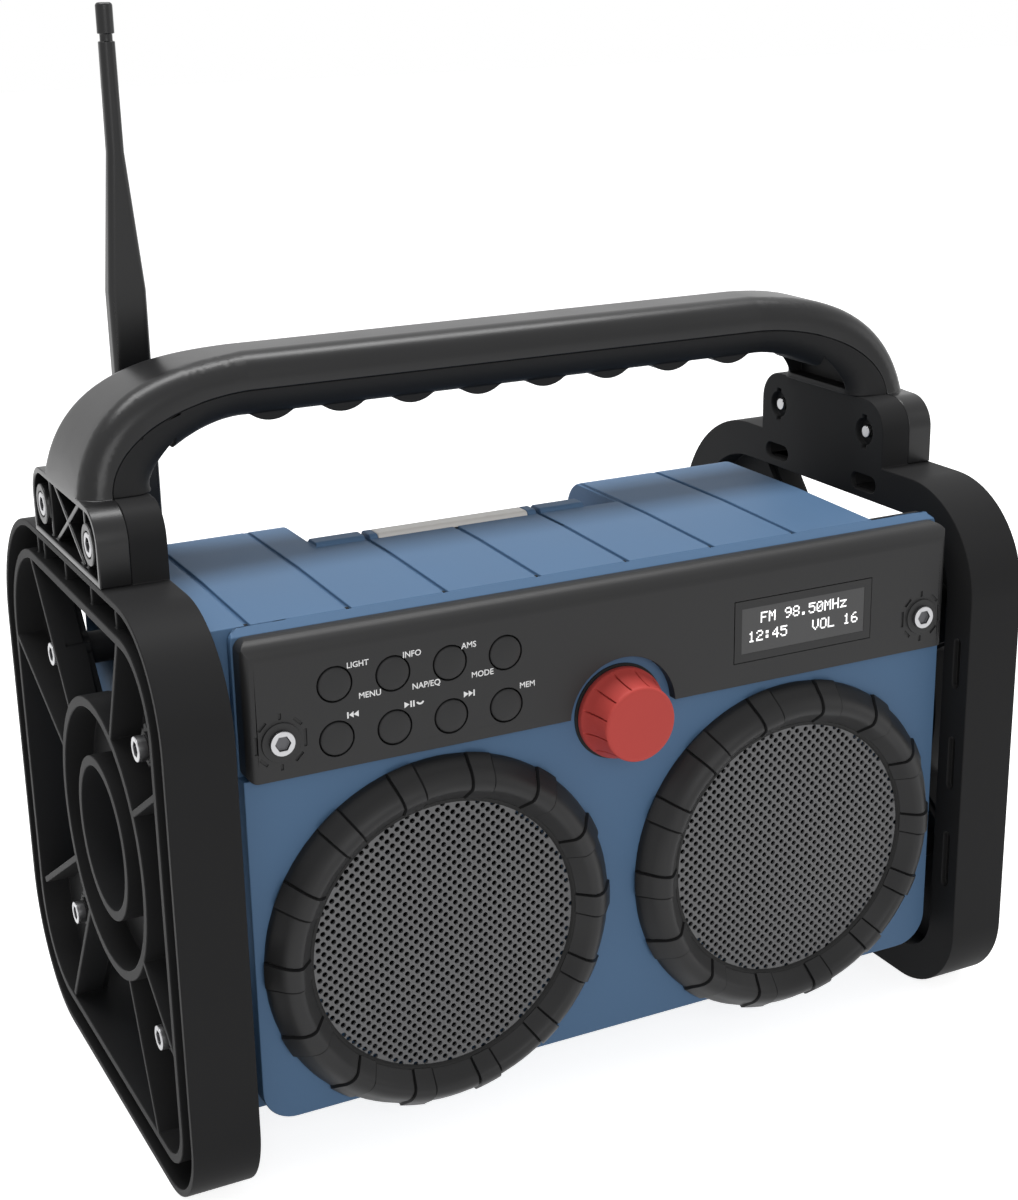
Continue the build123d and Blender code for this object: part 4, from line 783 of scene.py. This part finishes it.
# %% Knob
knob_centre = front_middle("volume_knob")
groove_count = 12
groove_period = 360 / groove_count
groove_half = 1.0
groove_depth = 1.1
knob_crease = 40.0
knob_profile = [
    (0.0, -12.0), (6.0, -12.0), (12.0, -12.0), (12.9, -11.93), (13.35, -11.7), (13.6, -11.3),
    (13.72, -10.8), (13.85, -9.6), (14.05, -8.0), (14.35, -6.2), (14.75, -4.4), (15.25, -2.6),
    (15.8, -1.0), (16.35, 0.3), (16.6, 0.7), (16.7, 1.0), (16.7, 2.8), (3.05, 2.8), (3.05, -9.0),
    (0.0, -9.0),
]
groove_share = {6: 0.5, 7: 1.0, 8: 1.0, 9: 1.0, 10: 1.0, 11: 1.0, 12: 0.9, 13: 0.35}
groove_offsets = [-15, -12, -9, -6, -3.5, -1.9, -1.3, -0.6, 0.6, 1.3, 1.9, 3.5, 6, 9, 12]


def groove_shape(index, angle, radius, depth):
    """Press the knob's side in along each groove."""
    offset = abs(angle % groove_period - groove_period / 2)
    if offset < groove_half:
        radius -= groove_depth * groove_share.get(index, 0.0)
    return radius, depth


# A thin black ring around the knob's base is painted shadow: the dark line where the knob meets the
# panel.
knob_shadow_ring_profile = [(16.4, 3.4), (17.5, 3.5), (17.6, 3.9), (16.4, 3.9), (16.4, 3.4)]
knob_shadow_ring = spun("knob_painted_shadow_ring", knob_centre, knob_shadow_ring_profile, plain_angles(96), seal_rubber)
add_piece("knob_painted_shadow_ring", knob_shadow_ring, "radio")
knob_angles = [
    groove_period / 2 + angle for angle in repeated_angles(groove_count, groove_offsets)
]
knob_mesh = spun(
    "knob_turning", knob_centre, knob_profile, knob_angles, knob_red, groove_shape, knob_crease
)
add_piece("knob_turning", knob_mesh, "volume_knob", "volume_knob")
print("knob:", len(knob_mesh.polygons), "faces")

# %% [markdown]
# ## Push buttons
# Eight round rubber buttons stand almost level with the panel. Each has a low dome, a rounded rim
# and a narrow dark gap around it. They are spun too, with the flange that keeps each button in and
# the stem that reaches its switch.

# %% Buttons
button_profile = [
    (0.0, -0.72), (1.5, -0.70), (3.0, -0.62), (4.4, -0.47), (5.1, -0.33), (5.5, -0.15), (5.7, 0.12),
    (5.76, 0.5), (5.76, 4.2), (7.0, 4.2), (7.0, 5.0), (2.0, 5.0), (2.0, 5.7), (0.0, 5.7),
]
buttons = [f"button_{row}_{column}" for row in (1, 2) for column in (1, 2, 3, 4)]
for body in buttons:
    place = front_middle(body)
    mesh = spun(f"{body}_cap", place, button_profile, plain_angles(48), button_rubber)
    add_piece(f"{body}_cap", mesh, body, body)
print(len(buttons), "buttons")

# %% [markdown]
# ## Display
# The display is a small grey panel inside a dark border. Through its clear pane one sees only these
# two, so four strips as dark as the fascia stand for the pane's edge, and an opaque panel lies in
# the middle. White dots write a frequency, the time and the volume on it.

# %% Sizes and slabs
display_x, display_z = front_middle("display_window")
pane_width, pane_height = front_size("display_window")
panel_width = 53.3
panel_height = 17.0
border_depths = (0.0, 1.6)
panel_depths = (0.12, 1.5)


def slab(shape, x, z, width, height, depths):
    """Add a box to a mesh under construction; sizes and places are in millimetres."""
    corners = []
    for depth in depths:
        for side_x, side_z in ((-1, -1), (1, -1), (1, 1), (-1, 1)):
            place = (x + side_x * width / 2, fascia_y + depth, z + side_z * height / 2)
            corners.append(shape.verts.new([value * mm for value in place]))
    for loop in ((0, 1, 2, 3), (7, 6, 5, 4), (0, 4, 5, 1), (1, 5, 6, 2), (2, 6, 7, 3), (3, 7, 4, 0)):
        shape.faces.new([corners[index] for index in loop])


def mesh_from(shape, name, material):
    """Turn a finished bmesh into a mesh with one material."""
    bmesh.ops.recalc_face_normals(shape, faces=shape.faces)
    mesh = bpy.data.meshes.new(name)
    shape.to_mesh(mesh)
    shape.free()
    mesh.materials.append(material)
    return mesh


print("display pane", pane_width, "by", pane_height)

# %% Border and panel
side_strip = (pane_width - panel_width) / 2
end_strip = (pane_height - panel_height) / 2
shape = bmesh.new()
for side in (-1, 1):
    strip_x = display_x + side * (panel_width + side_strip) / 2
    slab(shape, strip_x, display_z, side_strip, pane_height, border_depths)
    strip_z = display_z + side * (panel_height + end_strip) / 2
    slab(shape, display_x, strip_z, panel_width, end_strip, border_depths)
bmesh.ops.remove_doubles(shape, verts=shape.verts, dist=0.001 * mm)
frame_mesh = mesh_from(shape, "display_border", fascia_plastic)
add_piece("display_border", frame_mesh, "radio", "display_window")
shape = bmesh.new()
slab(shape, display_x, display_z, panel_width, panel_height, panel_depths)
add_piece("display_panel", mesh_from(shape, "display_panel", display_face), "radio")
print("border strips", round(side_strip, 2), "and", round(end_strip, 2), "mm wide")

# %% [markdown]
# ## Display dots
# A dot display writes each letter on a grid five dots wide and seven high. A small table holds the
# rows of each letter as strings, and every dot becomes a tiny square that glows a little less than
# white paper in full light.

# %% Letters as dots
glyphs = {
    "0": "01110 10001 10011 10101 11001 10001 01110",
    "1": "00100 01100 00100 00100 00100 00100 01110",
    "2": "01110 10001 00001 00110 01000 10000 11111",
    "4": "00010 00110 01010 10010 11111 00010 00010",
    "5": "11111 10000 11110 00001 00001 10001 01110",
    "6": "00110 01000 10000 11110 10001 10001 01110",
    "8": "01110 10001 10001 01110 10001 10001 01110",
    "9": "01110 10001 10001 01111 00001 00010 01100",
    ".": "00000 00000 00000 00000 00000 01100 01100",
    ":": "00000 01100 01100 00000 01100 01100 00000",
    "F": "11111 10000 10000 11110 10000 10000 10000",
    "H": "10001 10001 10001 11111 10001 10001 10001",
    "L": "10000 10000 10000 10000 10000 10000 11111",
    "M": "10001 11011 10101 10101 10001 10001 10001",
    "O": "01110 10001 10001 10001 10001 10001 01110",
    "V": "10001 10001 10001 10001 10001 01010 00100",
    "z": "00000 00000 11111 00010 00100 01000 11111",
}
dot_pitch = 0.575
dot_size = 0.53
dot_depths = (0.06, 0.3)
dot_glow = 0.9
letter_pitch = 6 * dot_pitch
text_rows = (("FM 98.50MHz", 176.3), ("12:45   VOL 16", 169.6))


print(len(glyphs), "letters of dots")


# %% Lit dots
def lit_material(name, colour):
    """Plain material that glows in its own colour."""
    material, _, _, shader = start_material(name, colour, 0.5)
    shader.inputs["Emission Color"].default_value = (*colour, 1)
    shader.inputs["Emission Strength"].default_value = dot_glow
    return material


lit_dots = lit_material("lit_dots", (0.95, 0.95, 0.95))
shape = bmesh.new()
for text, middle_z in text_rows:
    start_x = display_x - (len(text) * letter_pitch - dot_pitch) / 2
    for place, letter in enumerate(text):
        if letter == " ":
            continue
        for row, bits in enumerate(glyphs[letter].split()):
            for column, bit in enumerate(bits):
                if bit == "1":
                    x = start_x + place * letter_pitch + (column + 0.5) * dot_pitch
                    z = middle_z + (3 - row) * dot_pitch
                    slab(shape, x, z, dot_size, dot_size, dot_depths)
dots_mesh = mesh_from(shape, "display_dots", lit_dots)
add_piece("display_dots", dots_mesh, "radio")
print("display dots:", len(dots_mesh.polygons) // 6)

# %% [markdown]
# ## Key legends
# Each button has a short printed legend at its upper right or lower right. The words come from text
# objects, which are turned into plain meshes and joined. The transport symbols are small triangles
# and bars. The print is a film only a few hundredths of a millimetre thick.

# %% Printed words
legend_white = moulded_plastic("legend_white", (0.8, 0.8, 0.8), 0.5)
legend_front = -0.03
legend_weight = 0.045
letter_scale = 1.38
words = [
    ("LIGHT", -99.8, 186.5, 2.0),
    ("INFO", -80.6, 186.6, 2.1),
    ("AMS", -60.0, 186.0, 2.1),
    ("MODE", -55.2, 175.2, 2.1),
    ("MENU", -95.9, 175.4, 2.1),
    ("NAP/EQ", -75.8, 175.1, 2.1),
    ("MEM", -38.5, 168.2, 2.1),
]


def printed_word(shape, text, x, z, height):
    """Add a flat word, centred at x and z, to a mesh under construction."""
    curve = bpy.data.curves.new(text, "FONT")
    curve.body = text
    curve.align_x = "CENTER"
    curve.align_y = "CENTER"
    curve.size = height * letter_scale * mm
    curve.resolution_u = 3
    curve.offset = legend_weight * mm
    holder = bpy.data.objects.new("word", curve)
    bpy.context.scene.collection.objects.link(holder)
    bpy.context.view_layer.update()
    flat = bpy.data.meshes.new_from_object(holder)
    start = len(shape.verts)
    shape.from_mesh(flat)
    shape.verts.ensure_lookup_table()
    for vert in shape.verts[start:]:
        across, up, _ = vert.co
        vert.co = (across + x * mm, (fascia_y + legend_front) * mm, up + z * mm)
    bpy.data.objects.remove(holder)
    bpy.data.curves.remove(curve)
    bpy.data.meshes.remove(flat)


print(len(words), "words to print")


# %% Printed symbols
symbol_half = 1.1
bar_half = 0.28


def printed_outline(shape, points, x, z):
    """Add a flat polygon, given in millimetres about x and z."""
    corners = []
    for across, up in points:
        place = ((x + across) * mm, (fascia_y + legend_front) * mm, (z + up) * mm)
        corners.append(shape.verts.new(place))
    shape.faces.new(corners)


def triangle(start, end):
    """Triangle that points from start to end along x."""
    return [(start, -symbol_half), (end, 0.0), (start, symbol_half)]


def bar(middle):
    """Upright bar of a transport symbol."""
    left, right = middle - bar_half, middle + bar_half
    return [(left, -symbol_half), (right, -symbol_half), (right, symbol_half), (left, symbol_half)]


symbols = [
    (-102.0, 169.6, [triangle(1.9, 0.1), triangle(0.1, -1.5), bar(-1.9)]),
    (-60.4, 169.0, [triangle(-1.9, -0.1), triangle(-0.1, 1.5), bar(1.9)]),
    (-82.0, 169.3, [triangle(-1.9, -0.1), bar(0.5), bar(1.5)]),
]
handset_place = (-78.2, 169.4)
handset_radii = (1.5, 0.85)
handset_lift = 0.6
arc = [math.radians(200 + 14 * step) for step in range(11)]


print(len(symbols) + 1, "symbols to print")


# %% Print the legends
def arc_points(radius, turns):
    """Points of the handset's arc at one radius."""
    return [(radius * math.cos(turn), radius * math.sin(turn) + handset_lift) for turn in turns]


shape = bmesh.new()
for text, x, z, height in words:
    printed_word(shape, text, x, z, height)
for x, z, outlines in symbols:
    for points in outlines:
        printed_outline(shape, points, x, z)
handset = arc_points(handset_radii[0], arc) + arc_points(handset_radii[1], reversed(arc))
printed_outline(shape, handset, *handset_place)
legend_mesh = mesh_from(shape, "key_legends", legend_white)
add_piece("key_legends", legend_mesh, "radio")
print(len(words), "words and", len(symbols) + 1, "symbols")

# %% [markdown]
# ## Finishes on the solids that stay
# Most of these parts lie inside the housing. The pin, the small screws and the socket plate show, but
# are simple enough as they are packed. So all of them keep their shapes and only get their finishes,
# also the hidden ones, because the model can be opened in an exported file.

# %% Finishes on the solids that stay
kept_finishes = {
    "display_module": display_face,
    "housing_seal": seal_rubber,
    "key_board": board_green,
    "main_board": board_green,
    "light_board": board_green,
    "rotary_encoder": screw_steel,
    "left_driver_basket": cone_black,
    "right_driver_basket": cone_black,
    "left_driver_cone": cone_black,
    "right_driver_cone": cone_black,
    "left_driver_magnet": screw_steel,
    "right_driver_magnet": screw_steel,
    "aerial_pin": screw_steel,
    "battery_case": black_plastic,
    "battery_cells": cell_wrap,
    "socket_plate": black_plastic,
    "shell_screws": screw_steel,
    "cover_screws": screw_steel,
}
for node, material in kept_finishes.items():
    slots = frame["nodes"][node].data.materials
    slots.clear()
    slots.append(material)
print(len(kept_finishes), "solids keep their shape")
